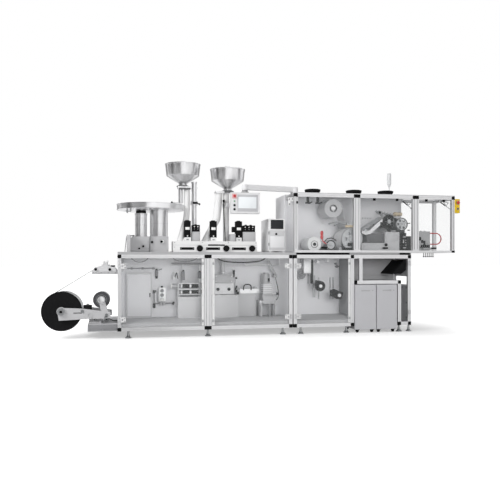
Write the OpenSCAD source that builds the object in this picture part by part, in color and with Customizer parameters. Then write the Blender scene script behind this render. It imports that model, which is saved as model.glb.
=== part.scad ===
// Blister packing machine: film unwind, feeding section, guarded sealing and cutting section, glazed base.
// Sizes in millimetres, +X along the film, +Y to the back, +Z up.

/* [Base] */
// Width of the slotted aluminium profile
profile = 40; // [34:1:46]
// Width of the slot in the profile
slot_w = 9; // [6:0.5:11]
// Depth of the slot in the profile
slot_d = 5; // [3:0.5:8]
// Height of the levelling feet
foot_h = 77; // [65:1:100]
// Height of the base frame from its bottom rail to its top rail
frame_h = 838; // [800:1:880]
// Length of the left base module
left_len = 1942; // [1910:1:1980]
// Gap between the two base modules
module_gap = 14; // [8:1:20]
// Clear width of the right door's bay
bay3_w = 656; // [640:1:690]
// Length of the bay for the collecting trolleys and the outfeed
bay4_w = 723; // [715:1:760]
// Depth of the front zone, up to the mounting wall
front_depth = 400; // [390:1:430]
// Depth of the closed rear zone
rear_depth = 480; // [440:1:520]
// Thickness of the table plate
table_t = 30; // [20:1:40]
// Height of the floor trays above the bottom rail
tray_h = 73; // [60:1:80]
// Height of the floor trays' front lip
tray_lip = 37; // [25:1:50]

/* [Doors] */
// Thickness of the door panes
door_t = 8; // [6:1:10]
// Clearance around a door in its opening
door_gap = 6; // [5.5:0.5:8]
// Width of the white edge strip
strip_w = 26; // [20:1:34]
// Radius of the hinge pins
hinge_pin_r = 4; // [3:0.5:5]
// Height of a hinge
hinge_h = 54; // [40:1:70]

/* [Unwind] */
// Radius of the film roll
film_r = 208; // [150:1:212]
// Radius of the roll flanges
flange_r = 214; // [213:1:230]
// Width of the film
film_w = 270; // [240:1:275]
// Height of the film roll's axis
reel_z = 301; // [290:1:320]
// Radius of the splice reel
splice_r = 84; // [60:1:90]
// Running clearance of shafts in bores
run_c = 0.08; // [0.05:0.01:0.1]

/* [Feeding] */
// Radius of the round feeder pan
pan_r = 385; // [360:1:400]
// Height of the pan's floor above the table
pan_lift = 495; // [485:1:520]
// Height of the pan's wall
pan_h = 60; // [45:1:70]
// Outer radius of the hoppers
hopper_r = 206; // [180:1:215]
// Height of the straight hopper wall
hopper_wall_h = 132; // [110:1:150]
// Height of the hopper cone
hopper_cone_h = 94; // [80:1:110]
// Taper of the hopper wall from its rim to its cone
hopper_taper = 14; // [6:1:20]
// Height of the left hopper's outlet above the table
hopper_left_lift = 816; // [800:1:830]
// Height of the right hopper's outlet above the table
hopper_right_lift = 762; // [740:1:780]
// Length of the white brush feeder
brush_len = 957; // [940:1:970]
// Height of the white brush feeder
brush_h = 123; // [110:1:135]
// Height of the black feeder motors
motor_h = 188; // [160:1:210]
// Height of the inspection cabinet
cabinet_h = 372; // [340:1:390]

/* [Operator panel] */
// Width of the operator panel
hmi_w = 330; // [300:1:360]
// Height of the operator panel
hmi_h = 238; // [220:1:260]
// Thickness of the operator panel
hmi_t = 84; // [60:1:86]

/* [Guard] */
// Height of the guard above the table
guard_h = 685; // [675:1:700]
// Height of the guard's sill
sill_h = 25; // [20:1:30]
// Length by which the guard runs past the base
guard_over = 575; // [560:1:600]
// Thickness of the clear panes
pane_t = 6; // [4:1:8]
// Radius of the foil roll
foil_r = 108; // [80:1:112]
// Radius of the lid roll
lid_r = 84; // [60:1:88]
// Radius of the sealing drum
drum_r = 130; // [120:1:132]
// Sealing pockets around the drum
pocket_n = 16; // [8:1:18]

/* [Trolleys] */
// Width of a trolley
trolley_w = 258; // [240:1:262]
// Height of a trolley's body
trolley_h = 527; // [480:1:560]
// Height of the casters
caster_h = 38; // [34:1:60]

/* [Hidden] */
$fn = 48;
frame_z0 = foot_h;
frame_z1 = foot_h + frame_h;
table_z = frame_z1 + table_t;
wall_y = front_depth;
back_y = front_depth + rear_depth;
right_x = left_len + module_gap;
bay3_x = right_x + profile;
bay3_end = bay3_x + bay3_w;
base_len = bay3_end + profile + bay4_w;
base_x0 = -24;
mid_x = left_len / 2 - profile - 6;
shelf_x = bay3_end + profile;
sub_x = shelf_x + 65;
inner_x = base_len - 169;
shelf_z = caster_h + trolley_h + 8;
outlet_z0 = shelf_z - 13;
outlet_z1 = shelf_z + 84;
housing_end = base_len;
rail_z0 = frame_z0 + profile;
rail_z1 = frame_z1 - profile;
tray_z = rail_z0 + tray_h;
sill_z = table_z + sill_h;
guard_z = table_z + guard_h;
guard_x0 = right_x + 9;
guard_x1 = bay3_end + 38;
guard_x2 = base_len + 22;
rear_end = guard_x2 + 43;
suction_x = guard_x2 + 139;
guard_x3 = base_len + guard_over - profile;
guard_end = base_len + guard_over;
cage_y = wall_y + 40;
roof_t = 10;
roof_z = guard_z + roof_t;
cabinet_top = guard_z + 25;
web_y = 65;
web_t = 1.2;
web_gap = 0.5;
web_in = 8;
reel_x = -614;
reel_y = web_y + 3;
shaft_r = 15;
arm_t = 20;
arm_y = 25;
arm_rear_y = web_y + film_w + 15;
splice_x = -197;
splice_z = reel_z + 121;
join_z = rail_z1 - 140;
hinge_y = -12;
film_roll_c = [reel_x, reel_z, film_r, 1];
join_a = [-258, join_z + 19, 12, 1];
join_b = [-109, join_z + 16, 12, -1];
turn_roller = [base_x0 + 39, join_z + 14, 10, -1];
form_roller = [86, table_z + 165, 18, 1];
drum_x = guard_x1;
drum_z = table_z + 160;
low_idler = [drum_x + 172, table_z + 256, 22, 1];
index_drum = [base_len - 260, table_z + 373, 70, 1];
index_wheel = [base_len - 107, table_z + 342, 60, 1];
seal_drum = [drum_x, drum_z, drum_r, -1];
lid_c = [bay3_x + 229, table_z + 96, lid_r, -1];
low_drum = [bay3_x + 430, table_z + 88, 60, 1];
foil_idler = [drum_x - 148, table_z + 42, 18, -1];
foil_c = [bay3_x + 462, table_z + 521, foil_r, 1];
bronze = [drum_x - 46, drum_z + drum_r + 42, 20, -1];
pan_x = 338;
pan_y = 450;
pan_z = table_z + pan_lift;
drive_x = pan_x - 111;
drive_y = pan_y - 40;
hopper_a = [716, 450, table_z + hopper_left_lift];
hopper_b = [1246, 400, table_z + hopper_right_lift];
pole_ax = 845;
house_a_h = 176;
house_b_h = 177;
brush_x = 578;
brush_y = 45;
brush_top = table_z + brush_h;
cab_w = 202;
cab_x = brush_x + brush_len + 0.605 * (guard_x0 - 10 - brush_x - brush_len - cab_w);
hmi_x = 1388;
hmi_y = 22;
hmi_z = guard_z - 9;
boom_pivot = [guard_x0 + 40, 150];
boom_z = roof_z + 15.5;
boom_h = 58;
trolley_x = shelf_x + 5;
trolley_y = -30;
x_min = reel_x - flange_r;
x_max = guard_end + 63;
y_min = trolley_y;
y_max = back_y;
centre_x = (x_min + x_max) / 2;
centre_y = (y_min + y_max) / 2;

// Moves the machine's drawing frame to the middle of its footprint
module placed() {
    translate([-centre_x, -centre_y, 0]) children();
}

// Box from its least corner to its greatest corner
module block(a, b) {
    translate(a) cube([b[0] - a[0], b[1] - a[1], b[2] - a[2]]);
}

// Round bar along Y
module rod_y(x, z, r, y0, y1) {
    translate([x, y1, z]) rotate([90, 0, 0]) cylinder(r = r, h = y1 - y0);
}

// Plate in the XZ plane from y0 to y1, drawn by a flat outline
module plate_y(y0, y1) {
    translate([0, y1, 0]) rotate([90, 0, 0]) linear_extrude(y1 - y0) children();
}

// Cross-section of the slotted profile
module section(w, d) {
    n = w > 1.5 * profile ? 2 : 1;
    difference() {
        square([w, d]);
        for (i = [0 : n - 1]) {
            translate([w * (2 * i + 1) / (2 * n) - slot_w / 2, -1]) square([slot_w, slot_d + 1]);
            translate([w * (2 * i + 1) / (2 * n) - slot_w / 2, d - slot_d]) square([slot_w, slot_d + 1]);
        }
        translate([-1, d / 2 - slot_w / 2]) square([slot_d + 1, slot_w]);
        translate([w - slot_d, d / 2 - slot_w / 2]) square([slot_d + 1, slot_w]);
    }
}

// Slotted bars along the three axes
module bar_z(x, y, z0, z1, w = profile, d = profile) {
    translate([x, y, z0]) linear_extrude(z1 - z0) section(w, d);
}

module bar_x(x0, x1, y, z, d = profile, h = profile) {
    translate([x0, y, z]) rotate([90, 0, 90]) linear_extrude(x1 - x0) section(d, h);
}

module bar_y(x, y0, y1, z, w = profile, h = profile) {
    translate([x, y1, z]) rotate([90, 0, 0]) linear_extrude(y1 - y0) section(w, h);
}

module frame_posts() {
    color([0.86, 0.87, 0.88]) {
        for (x = [base_x0, left_len - profile, right_x, bay3_end, base_len - profile])
            bar_z(x, 0, rail_z0, rail_z1);
        bar_z(mid_x, 0, rail_z0, rail_z1, 2 * profile);
        bar_z(sub_x, 0, shelf_z + profile, rail_z1);
        bar_z(inner_x, 0, rail_z0, shelf_z);
        bar_z(guard_x0, 0, sill_z, guard_z - profile);
        bar_z(guard_x1, 0, sill_z, guard_z - profile, 2 * profile);
        bar_z(guard_x2, 0, sill_z, guard_z - profile, 2 * profile);
        bar_z(guard_x3, 0, sill_z, guard_z - profile);
        bar_z(guard_x3, cage_y, sill_z, guard_z - profile);
    }
}

module frame_rails() {
    color([0.86, 0.87, 0.88]) {
        for (z = [frame_z0, rail_z1]) {
            bar_x(base_x0 + profile, mid_x, 0, z);
            bar_x(mid_x + 2 * profile, left_len - profile, 0, z);
            bar_x(bay3_x, bay3_end, 0, z);
            for (x = [base_x0, left_len - profile, right_x, bay3_end, base_len - profile])
                bar_y(x, profile, wall_y, z);
        }
        bar_x(inner_x + profile, base_len - profile, 0, frame_z0);
        bar_x(bay3_end + profile, base_len - profile, 0, rail_z1);
        bar_x(shelf_x + profile, inner_x, 0, shelf_z);
        bar_x(guard_x0, guard_x3, 0, table_z, profile, sill_h);
        bar_y(guard_x3, profile, cage_y, table_z, profile, sill_h);
        bar_x(rear_end, guard_x3, cage_y, table_z, profile, sill_h);
        bar_x(guard_x0 + profile, guard_x1, 0, guard_z - profile);
        bar_x(guard_x1 + 2 * profile, guard_x2, 0, guard_z - profile);
        bar_x(guard_x2 + 2 * profile, guard_x3, 0, guard_z - profile);
        bar_y(guard_x0, profile, wall_y, guard_z - profile);
        bar_y(guard_x3, profile, cage_y, guard_z - profile);
        bar_x(rear_end, guard_x3, cage_y, guard_z - profile);
    }
}

// Black corner block of the frame
module corner(x, y, z, w = profile, h = profile) {
    block([x, y, z], [x + w, y + profile, z + h]);
}

module corner_blocks() {
    color([0.05, 0.05, 0.06]) {
        for (z = [frame_z0, rail_z1]) {
            for (x = [base_x0, left_len - profile, right_x, bay3_end, base_len - profile])
                corner(x, 0, z);
            corner(mid_x, 0, z, 2 * profile);
        }
        corner(inner_x, 0, frame_z0);
        corner(shelf_x, 0, shelf_z);
        corner(inner_x, 0, shelf_z);
        corner(guard_x0, 0, guard_z - profile);
        corner(guard_x1, 0, guard_z - profile, 2 * profile);
        corner(guard_x2, 0, guard_z - profile, 2 * profile);
        corner(guard_x3, 0, guard_z - profile);
        corner(guard_x3, cage_y, guard_z - profile);
        corner(guard_x3, 0, table_z, profile, sill_h);
        corner(guard_x3, cage_y, table_z, profile, sill_h);
    }
}

// Bar along X with an outline drawn in the YZ plane
module plate_x(x0, x1) {
    translate([x0, 0, 0]) rotate([90, 0, 90]) linear_extrude(x1 - x0) children();
}

// Tray that stands on the bottom rails, with a sloped front
module tray(x0, x1) {
    plate_x(x0, x1) polygon([[22, rail_z0], [wall_y, rail_z0], [wall_y, tray_z], [190, tray_z],
        [22, rail_z0 + tray_lip]]);
}

module floor_trays() {
    color([0.80, 0.81, 0.82]) {
        tray(base_x0 + profile + 2, mid_x - 2);
        tray(mid_x + 2 * profile + 2, left_len - profile - 2);
        tray(bay3_x + 2, bay3_end - 2);
        plate_x(shelf_x + 2, inner_x + profile - 2) polygon([[profile, shelf_z + 28], [wall_y, shelf_z + 28],
            [wall_y, shelf_z + 85], [wall_y - 44, shelf_z + 85], [wall_y - 44, shelf_z + profile],
            [profile, shelf_z + profile]]);
    }
}

// Thin panel between the post at x and the mounting wall
module end_panel(x) {
    block([x + profile / 2 - 2, profile, rail_z0], [x + profile / 2 + 2, wall_y - 0.5, rail_z1]);
}

module housing_panels() {
    color([0.80, 0.81, 0.82]) {
        difference() {
            block([base_x0, wall_y, frame_z0], [housing_end, back_y, frame_z1]);
            for (i = [1 : 4])
                block([housing_end * i / 5 - 3, back_y - 3, rail_z0],
                    [housing_end * i / 5 + 3, back_y + 1, rail_z1]);
            for (i = [0 : 4], k = [0 : 5])
                block([housing_end * (i + 0.5) / 5 - 120, back_y - 6, rail_z0 + 90 + 24 * k],
                    [housing_end * (i + 0.5) / 5 + 120, back_y + 1, rail_z0 + 98 + 24 * k]);
        }
        difference() {
            end_panel(base_x0);
            block([base_x0, web_y - 2, join_z - 2], [base_x0 + profile, web_y + film_w + 2, join_z + 30]);
        }
        end_panel(bay3_end);
        difference() {
            end_panel(base_len - profile);
            block([base_len - profile, profile + 20, outlet_z0], [base_len, wall_y - 20, outlet_z1]);
        }
    }
}

module table_plate() {
    color([0.88, 0.89, 0.90]) {
        difference() {
            block([base_x0, 0, frame_z1], [base_len, back_y, table_z]);
            block([28, web_y - 2, frame_z1 - 1], [72, web_y + film_w + 2, table_z + 1]);
            block([right_x + 30, -1, frame_z1 + 3], [base_len - 8, 24, table_z - 3]);
        }
    }
}

// Levelling foot with its pad, stem and lock nut
module foot(x, y) {
    translate([x, y, 0]) {
        cylinder(r = 34, h = 10);
        translate([0, 0, 10]) cylinder(r1 = 30, r2 = 14, h = 12);
        translate([0, 0, 22]) cylinder(r = 8, h = foot_h - 22);
        translate([0, 0, foot_h - 14]) cylinder(r = 15, h = 10, $fn = 6);
    }
}

module levelling_feet() {
    color([0.70, 0.71, 0.72]) {
        for (x = [90, mid_x + profile, left_len - 110, right_x + 90, bay3_end - 50])
            foot(x, profile / 2);
        foot(inner_x + profile / 2, profile / 2);
        foot(base_len - profile / 2 - 4, profile / 2);
        for (x = [90, mid_x + profile, left_len - 110, right_x + 90, housing_end - 90])
            foot(x, back_y - 70);
    }
}

// Heights of the two hinges of each lower door
function hinge_zs() = [rail_z0 + 60, rail_z1 - 60 - hinge_h];

// Fixed half of a hinge: plate on the post, middle knuckle and pin; side is +1 with the door to the right
module hinge_fixed(x, side, z) {
    s = side > 0 ? 0 : 1;
    translate([x, 0, z]) mirror([s, 0, 0]) {
        block([-35, -5, 0], [-11, 0, hinge_h]);
        block([-18, hinge_y - 3, hinge_h / 3 + 1], [0, -4, 2 * hinge_h / 3 - 1]);
        translate([0, hinge_y, hinge_h / 3 + 1]) cylinder(r = 7, h = hinge_h / 3 - 2);
        translate([0, hinge_y, 0]) cylinder(r = hinge_pin_r, h = hinge_h);
    }
}

// Moving half of a hinge: plate on the pane and two outer knuckles
module hinge_moving(x, side, z) {
    s = side > 0 ? 0 : 1;
    translate([x, 0, z]) mirror([s, 0, 0]) {
        difference() {
            union() {
                block([14, -5, 0], [46, 2, hinge_h]);
                for (z0 = [0, 2 * hinge_h / 3 + 1]) {
                    block([0, hinge_y - 3, z0], [24, -4, z0 + hinge_h / 3 - 1]);
                    translate([0, hinge_y, z0]) cylinder(r = 7, h = hinge_h / 3 - 1);
                }
            }
            translate([0, hinge_y, -1]) cylinder(r = hinge_pin_r + run_c, h = hinge_h + 2);
        }
    }
}

// Hinge axes, between the post and the pane
axis_left = base_x0 + profile + door_gap / 2;
axis_middle = left_len - profile - door_gap / 2;
axis_right = bay3_x + door_gap / 2;

module hinge_plates() {
    color([0.93, 0.93, 0.93]) {
        for (z = hinge_zs()) {
            hinge_fixed(axis_left, 1, z);
            hinge_fixed(axis_middle, -1, z);
            hinge_fixed(axis_right, 1, z);
        }
    }
}

// Clear pane of a door between x0 and x1
module pane(x0, x1) {
    block([x0 + door_gap, 2, rail_z0 + door_gap], [x1 - door_gap, 2 + door_t, rail_z1 - door_gap]);
}

// Edge strip on the free edge, with a shallow finger pull
module strip(x0) {
    difference() {
        block([x0, -4, rail_z0 + door_gap], [x0 + strip_w, 2, rail_z1 - door_gap]);
        translate([x0 + 6, -5, (rail_z0 + rail_z1) / 2 - 60]) cube([strip_w - 12, 4, 120]);
    }
}

module door_left_pane() {
    color([0.85, 0.88, 0.90]) pane(base_x0 + profile, mid_x);
}

module door_left_trim() {
    color([0.93, 0.93, 0.93]) {
        strip(mid_x - door_gap - strip_w);
        for (z = hinge_zs()) hinge_moving(axis_left, 1, z);
    }
}

module door_middle_pane() {
    color([0.85, 0.88, 0.90]) pane(mid_x + 2 * profile, left_len - profile);
}

module door_middle_trim() {
    color([0.93, 0.93, 0.93]) {
        strip(mid_x + 2 * profile + door_gap);
        for (z = hinge_zs()) hinge_moving(axis_middle, -1, z);
    }
}

module door_right_pane() {
    color([0.85, 0.88, 0.90]) pane(bay3_x, bay3_end);
}

module door_right_trim() {
    color([0.93, 0.93, 0.93]) {
        strip(bay3_end - door_gap - strip_w);
        for (z = hinge_zs()) hinge_moving(axis_right, 1, z);
    }
}

// Outline of one unwind arm, with the hub at the roll and the seat at the base
module arm_outline() {
    difference() {
        union() {
            polygon([[reel_x - 26, reel_z - 96], [reel_x + 219, reel_z - 86], [-100, reel_z - 76],
                [-100, reel_z - 12], [reel_x + 219, reel_z + 29], [reel_x, reel_z + 40],
                [reel_x - 40, reel_z + 10]]);
            translate([reel_x, reel_z]) circle(r = 48);
        }
        translate([reel_x + 125, reel_z - 22]) square([90, 9]);
    }
}

module unwind_stand() {
    color([0.78, 0.79, 0.80]) {
        difference() {
            union() {
                plate_y(arm_y, arm_y + arm_t) arm_outline();
                plate_y(arm_rear_y, arm_rear_y + arm_t) arm_outline();
                rod_y(reel_x, reel_z, 45, arm_y - 15, arm_y + 1);
                block([-340, 15, frame_z0], [base_x0, back_y - 10, frame_z0 + 86]);
                block([-335, 60, frame_z0 + 85], [-200, 335, frame_z0 + 108]);
                block([-335, 120, frame_z0 + 80], [-285, 280, reel_z - 10]);
                rod_y(splice_x, splice_z, 42, arm_y - 6, arm_y + arm_t);
                rod_y(-310, reel_z - 45, 20, arm_y - 8, arm_rear_y + arm_t);
                rod_y(-140, reel_z - 45, 16, arm_y + 5, arm_rear_y + 5);
                plate_y(arm_y + 2, arm_y + arm_t) polygon([[-190, reel_z - 60], [-105, reel_z - 60],
                    [splice_x + 30, splice_z + 4], [splice_x, splice_z + 26], [splice_x - 28, splice_z]]);
            }
            rod_y(reel_x, reel_z, shaft_r + run_c, arm_y - 8, arm_rear_y + arm_t + 1);
            rod_y(splice_x, splice_z, 9 + run_c, arm_y + 6, arm_y + arm_t + 1);
        }
    }
}

module film_roll() {
    color([0.90, 0.91, 0.91]) {
        difference() {
            rod_y(reel_x, reel_z, film_r, reel_y, reel_y + film_w - 6);
            rod_y(reel_x, reel_z, 38.1, reel_y - 1, reel_y + film_w);
        }
    }
}

module film_flanges() {
    color([0.04, 0.04, 0.05]) {
        rod_y(reel_x, reel_z, flange_r, reel_y - 7, reel_y);
        rod_y(reel_x, reel_z, 150, reel_y + film_w - 6, reel_y + film_w + 1);
        rod_y(reel_x, reel_z, 38, reel_y - 1, reel_y + film_w);
        rod_y(reel_x, reel_z, shaft_r, arm_y - 6, arm_rear_y + arm_t);
    }
}

module splice_reel() {
    color([0.30, 0.31, 0.32]) {
        difference() {
            union() {
                rod_y(splice_x, splice_z, splice_r + 6, arm_y + arm_t + 8, arm_y + arm_t + 16);
                rod_y(splice_x, splice_z, splice_r, arm_y + arm_t + 15, arm_y + arm_t + 190);
            }
            rod_y(splice_x, splice_z, splice_r * 0.62, arm_y + arm_t + 7, arm_y + arm_t + 20);
        }
        rod_y(splice_x, splice_z, 26, arm_y + arm_t + 7, arm_y + arm_t + 21);
        rod_y(splice_x, splice_z, 9, arm_y + 8, arm_y + arm_t + 12);
    }
}

// Outline of the splice table's cheek plates
module cheek_outline() {
    polygon([[-292, join_z - 6], [-30, join_z - 6], [-52, join_z + 34], [-130, join_z + 62],
        [-185, join_z + 62], [-275, join_z + 36]]);
}

module splice_table() {
    color([0.82, 0.83, 0.84]) {
        block([-300, 58, join_z - 34], [base_x0 + profile / 2 - 2, web_y + film_w + 8, join_z]);
        plate_y(50, 60) cheek_outline();
        plate_y(web_y + film_w + 5, web_y + film_w + 15) cheek_outline();
        rod_y(-160, join_z + 48, 10, 55, web_y + film_w + 10);
        block([-196, 66, join_z + 56], [-124, web_y + film_w - 2, join_z + 70]);
        rod_y(-160, join_z + 90, 7, 150, 250);
        for (y = [152, 236]) block([-166, y, join_z + 68], [-154, y + 12, join_z + 92]);
        for (y = [web_y - 15, web_y + film_w + 5])
            block([base_x0 + profile / 2 + 2, y, join_z - 8], [base_x0 + profile + 14, y + 10, join_z + 28]);
    }
}

module web_rollers() {
    color([0.72, 0.73, 0.74]) {
        for (c = [join_a, join_b]) rod_y(c[0], c[1], c[2], 60, web_y + film_w + 5);
        rod_y(turn_roller[0], turn_roller[1], turn_roller[2], web_y - 5, web_y + film_w + 5);
        rod_y(form_roller[0], form_roller[1], form_roller[2], web_y - 5, web_y + film_w + 5);
        for (c = [low_drum, foil_idler, low_idler]) {
            rod_y(c[0], c[1], c[2], web_y - 4, web_y + film_w + 6);
            rod_y(c[0], c[1], c[2] * 0.5, web_y + film_w + 5, wall_y);
        }
        rod_y(bronze[0], bronze[1], bronze[2], web_y - 4, wall_y);
        rod_y(index_drum[0], index_drum[1], index_drum[2], web_y - 4, wall_y - 30);
        rod_y(index_drum[0], index_drum[1], 30, wall_y - 31, wall_y);
        rod_y(index_wheel[0], index_wheel[1], index_wheel[2], web_y - 4, wall_y - 30);
        rod_y(index_wheel[0], index_wheel[1], 15, web_y - 20, web_y);
        difference() {
            rod_y(index_wheel[0], index_wheel[1], 78, web_y - 35, web_y - 15);
            for (a = [0 : 60 : 300])
                rod_y(index_wheel[0] + 48 * cos(a), index_wheel[1] + 48 * sin(a), 16, web_y - 36, web_y - 14);
        }
        rod_y(index_wheel[0], index_wheel[1], 25, wall_y - 31, wall_y);
        rod_y(drum_x - 171, table_z + 361, 9, web_y + 35, wall_y);
        rod_y(drum_x - 100, table_z + 345, 9, web_y + 35, wall_y);
    }
}

// Angle of the straight run from one guide circle [x, z, r, side] to the next
function run_angle(a, b) = atan2(b[1] - a[1], b[0] - a[0])
    - asin((a[3] * a[2] - b[3] * b[2]) / norm([b[0] - a[0], b[1] - a[1]]));

// Run angles of a whole path, one per straight run
function run_angles(path) = [for (i = [0 : len(path) - 2]) run_angle(path[i], path[i + 1])];

// Point of the web at circle c for a run angle, at distance e outside the circle's face
function web_point(c, t, e) = let (r = c[3] * (c[2] + c[3] * e)) [c[0] - sin(t) * r, c[1] + cos(t) * r];

// Points along a path at distance e to the left of the web's centre line
function web_line(path, e) = let (t = run_angles(path), n = len(path)) [for (i = [0 : n - 1])
    let (t0 = i == 0 ? t[0] : t[i - 1], t1 = i == n - 1 ? t[n - 2] : t[i], d = t1 - t0,
        k = max(1, ceil(abs(d) / 6)))
    for (j = [0 : (abs(d) < 0.01 ? 0 : k)]) web_point(path[i], t0 + d * j / k, e)];

// Web of thickness web_t that follows guide circles grown by the web gap
module web(path) {
    grown = [for (c = path) [c[0], c[1], c[2] == 0 ? 0 : c[2] + web_gap + web_t / 2, c[3]]];
    up = web_line(grown, web_t / 2);
    down = web_line(grown, -web_t / 2);
    back = [for (i = [len(down) - 1 : -1 : 0]) down[i]];
    plate_y(web_y + web_in, web_y + film_w - web_in) polygon(concat(up, back));
}

module film_web() {
    color([0.88, 0.90, 0.92]) {
        web([film_roll_c, join_a, join_b, turn_roller, form_roller,
            [150, form_roller[1] + form_roller[2] + 1.1, 0, 1]]);
        web([[545, table_z + 6, 0, 1], [drum_x - 250, table_z + 12, 5, -1], seal_drum, low_idler, index_drum,
            index_wheel, [index_wheel[0] + index_wheel[2] + 1.1, table_z + 242, 0, 1]]);
    }
}

module foil_web() {
    color([0.75, 0.76, 0.77]) {
        web([lid_c, low_drum, foil_idler, [drum_x, drum_z, drum_r + 4, 1],
            [drum_x + 60, drum_z + drum_r + 5, 0, 1]]);
        web([foil_c, bronze, [bronze[0] + 40, bronze[1] - 21.1, 0, 1]]);
    }
}

module feeder_pan() {
    color([0.78, 0.79, 0.80]) {
        translate([pan_x, pan_y, pan_z]) rotate_extrude($fn = 96)
            polygon([[0, 0], [pan_r - 8, 0], [pan_r, 8], [pan_r, pan_h], [pan_r - 4, pan_h], [pan_r - 4, 12],
                [120, 12], [60, 32], [0, 36]]);
    }
}

module feeder_columns() {
    color([0.72, 0.73, 0.74]) {
        translate([drive_x, drive_y, table_z + house_a_h]) cylinder(r = 68, h = pan_lift - house_a_h - 42);
        translate([pan_x + 97, pan_y, table_z + house_b_h]) cylinder(r = 102, h = pan_lift - house_b_h);
        translate([drive_x, drive_y, pan_z - 6]) cylinder(r = 40, h = 6);
    }
}

module feeder_housings() {
    color([0.74, 0.75, 0.76]) {
        plate_y(180, 620) polygon([[80, table_z], [322, table_z], [322, table_z + house_a_h],
            [134, table_z + house_a_h], [80, table_z + house_a_h - 52]]);
        block([328, 150, table_z], [533, 620, table_z + house_b_h]);
        block([72, web_y - 15, table_z], [112, web_y - 5, form_roller[1] + 24]);
        block([72, web_y + film_w + 5, table_z], [112, web_y + film_w + 15, form_roller[1] + 24]);
        block([800, 120, brush_top], [888, 300, brush_top + 110]);
        block([1237, 120, brush_top], [1297, 260, brush_top + 88]);
        block([1384, 120, brush_top], [1532, 300, brush_top + 112]);
    }
}

// Hopper shell of revolution with a rolled rim, cone and outlet neck
module hopper(p) {
    h1 = hopper_cone_h;
    h2 = hopper_cone_h + hopper_wall_h;
    translate(p) {
        rotate_extrude($fn = 96) polygon([[36, -28], [46, -28], [46, 0], [hopper_r - hopper_taper, h1],
            [hopper_r, h2 - 6], [hopper_r + 4, h2 - 6], [hopper_r + 4, h2], [hopper_r - 4, h2],
            [hopper_r - hopper_taper - 4, h1 + 1], [36, 2]]);
        translate([0, 0, -34]) cylinder(r = 74, h = 8);
    }
}

// Flat lid with a bow handle on the hopper's rim
module lid(p) {
    translate(p) translate([0, 0, hopper_cone_h + hopper_wall_h]) {
        cylinder(r = hopper_r + 4, h = 5, $fn = 96);
        for (x = [-28, 20]) translate([x, -5, 4]) cube([8, 10, 36]);
        translate([-28, -5, 39]) cube([56, 10, 8]);
    }
}

module hopper_left() {
    color([0.75, 0.76, 0.77]) hopper(hopper_a);
}

module hopper_right() {
    color([0.75, 0.76, 0.77]) hopper(hopper_b);
}

module hopper_lids() {
    color([0.75, 0.76, 0.77]) {
        lid(hopper_a);
        lid(hopper_b);
    }
}

module hopper_stands() {
    color([0.72, 0.73, 0.74]) {
        translate([pole_ax, 400, table_z]) cylinder(r = 29, h = hopper_left_lift + 6);
        translate([pole_ax, 400, table_z + hopper_left_lift + 5]) cylinder(r = 34, h = 14);
        translate([pole_ax, 400, table_z]) cylinder(r = 50, h = 12);
        block([hopper_a[0] - 62, 388, hopper_a[2] - 56], [pole_ax + 40, hopper_a[1] + 60, hopper_a[2] - 34]);
        translate([hopper_a[0] - 26, hopper_a[1], hopper_a[2] - 230]) cylinder(r = 26, h = 180);
        translate([pole_ax, 400, table_z + 560]) cylinder(r = 42, h = 44);
        translate([hopper_b[0] - 18, 400, table_z]) cylinder(r = 32, h = hopper_right_lift - 55);
        translate([hopper_b[0] - 18, 400, table_z]) cylinder(r = 50, h = 12);
        translate([hopper_b[0] - 18, 400, table_z + 540]) cylinder(r = 44, h = 50);
        block([hopper_b[0] - 150, 340, hopper_b[2] - 56], [hopper_b[0] + 70, 460, hopper_b[2] - 34]);
    }
}

// Flat end or round bend of a chute at point i
module chute_end(pts, i, r) {
    translate(pts[i]) {
        if (i == 0 || i == len(pts) - 1) cylinder(r = r, h = 3, $fn = 28);
        else sphere(r = r, $fn = 28);
    }
}

// Round chute through the given points, flat at both ends
module chute(pts, r) {
    for (i = [0 : len(pts) - 2])
        hull() {
            chute_end(pts, i, r);
            chute_end(pts, i + 1, r);
        }
}

module feed_chutes() {
    color([0.92, 0.93, 0.93]) {
        chute([[hopper_a[0] + 46, 430, hopper_a[2] - 59], [hopper_a[0] + 46, 405, table_z + 510],
            [hopper_a[0] + 30, 330, table_z + 390], [hopper_a[0] - 52, 235, brush_top]], 35);
        chute([[hopper_b[0] - 106, 400, hopper_b[2] - 59], [hopper_b[0] - 118, 385, table_z + 535],
            [hopper_b[0] - 142, 330, table_z + 393], [hopper_b[0] - 291, 235, brush_top]], 45);
    }
}

module brush_feeder() {
    color([0.93, 0.93, 0.92]) {
        difference() {
            block([brush_x, brush_y, table_z], [brush_x + brush_len, 345, brush_top]);
            block([brush_x - 1, 58, table_z - 1], [brush_x + brush_len + 1, 342, table_z + 14]);
            for (x = [655, 947, 1244])
                block([x, brush_y - 1, table_z + 24], [x + 160, brush_y + 8, table_z + 54]);
            block([brush_x + 392, brush_y - 1, table_z + 70], [brush_x + 582, brush_y + 6, table_z + 88]);
        }
        for (x = [714, 1011, 1306]) block([x, 130, brush_top - 1], [x + 64, 215, brush_top + 46]);
    }
}

// Knob on the feeder's front
module knob(x) {
    rod_y(x, table_z + 42, 34, brush_y - 26, brush_y - 8);
    rod_y(x, table_z + 42, 20, brush_y - 10, brush_y);
}

module feeder_knobs() {
    color([0.05, 0.05, 0.06]) {
        for (x = [876, 1176, 1474]) knob(x);
        for (x = [655, 947, 1244])
            block([x, brush_y + 2, table_z + 24], [x + 160, brush_y + 8, table_z + 54]);
        block([brush_x + 392, brush_y + 2, table_z + 70], [brush_x + 582, brush_y + 6, table_z + 88]);
    }
}

// Upright drive motor with cooling ribs
module motor(x) {
    translate([x, 135, brush_top + 46]) {
        difference() {
            cube([74, 76, motor_h]);
            for (k = [0 : 5]) translate([-1, -1, 30 + k * 11]) cube([76, 4, 5]);
        }
    }
}

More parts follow.
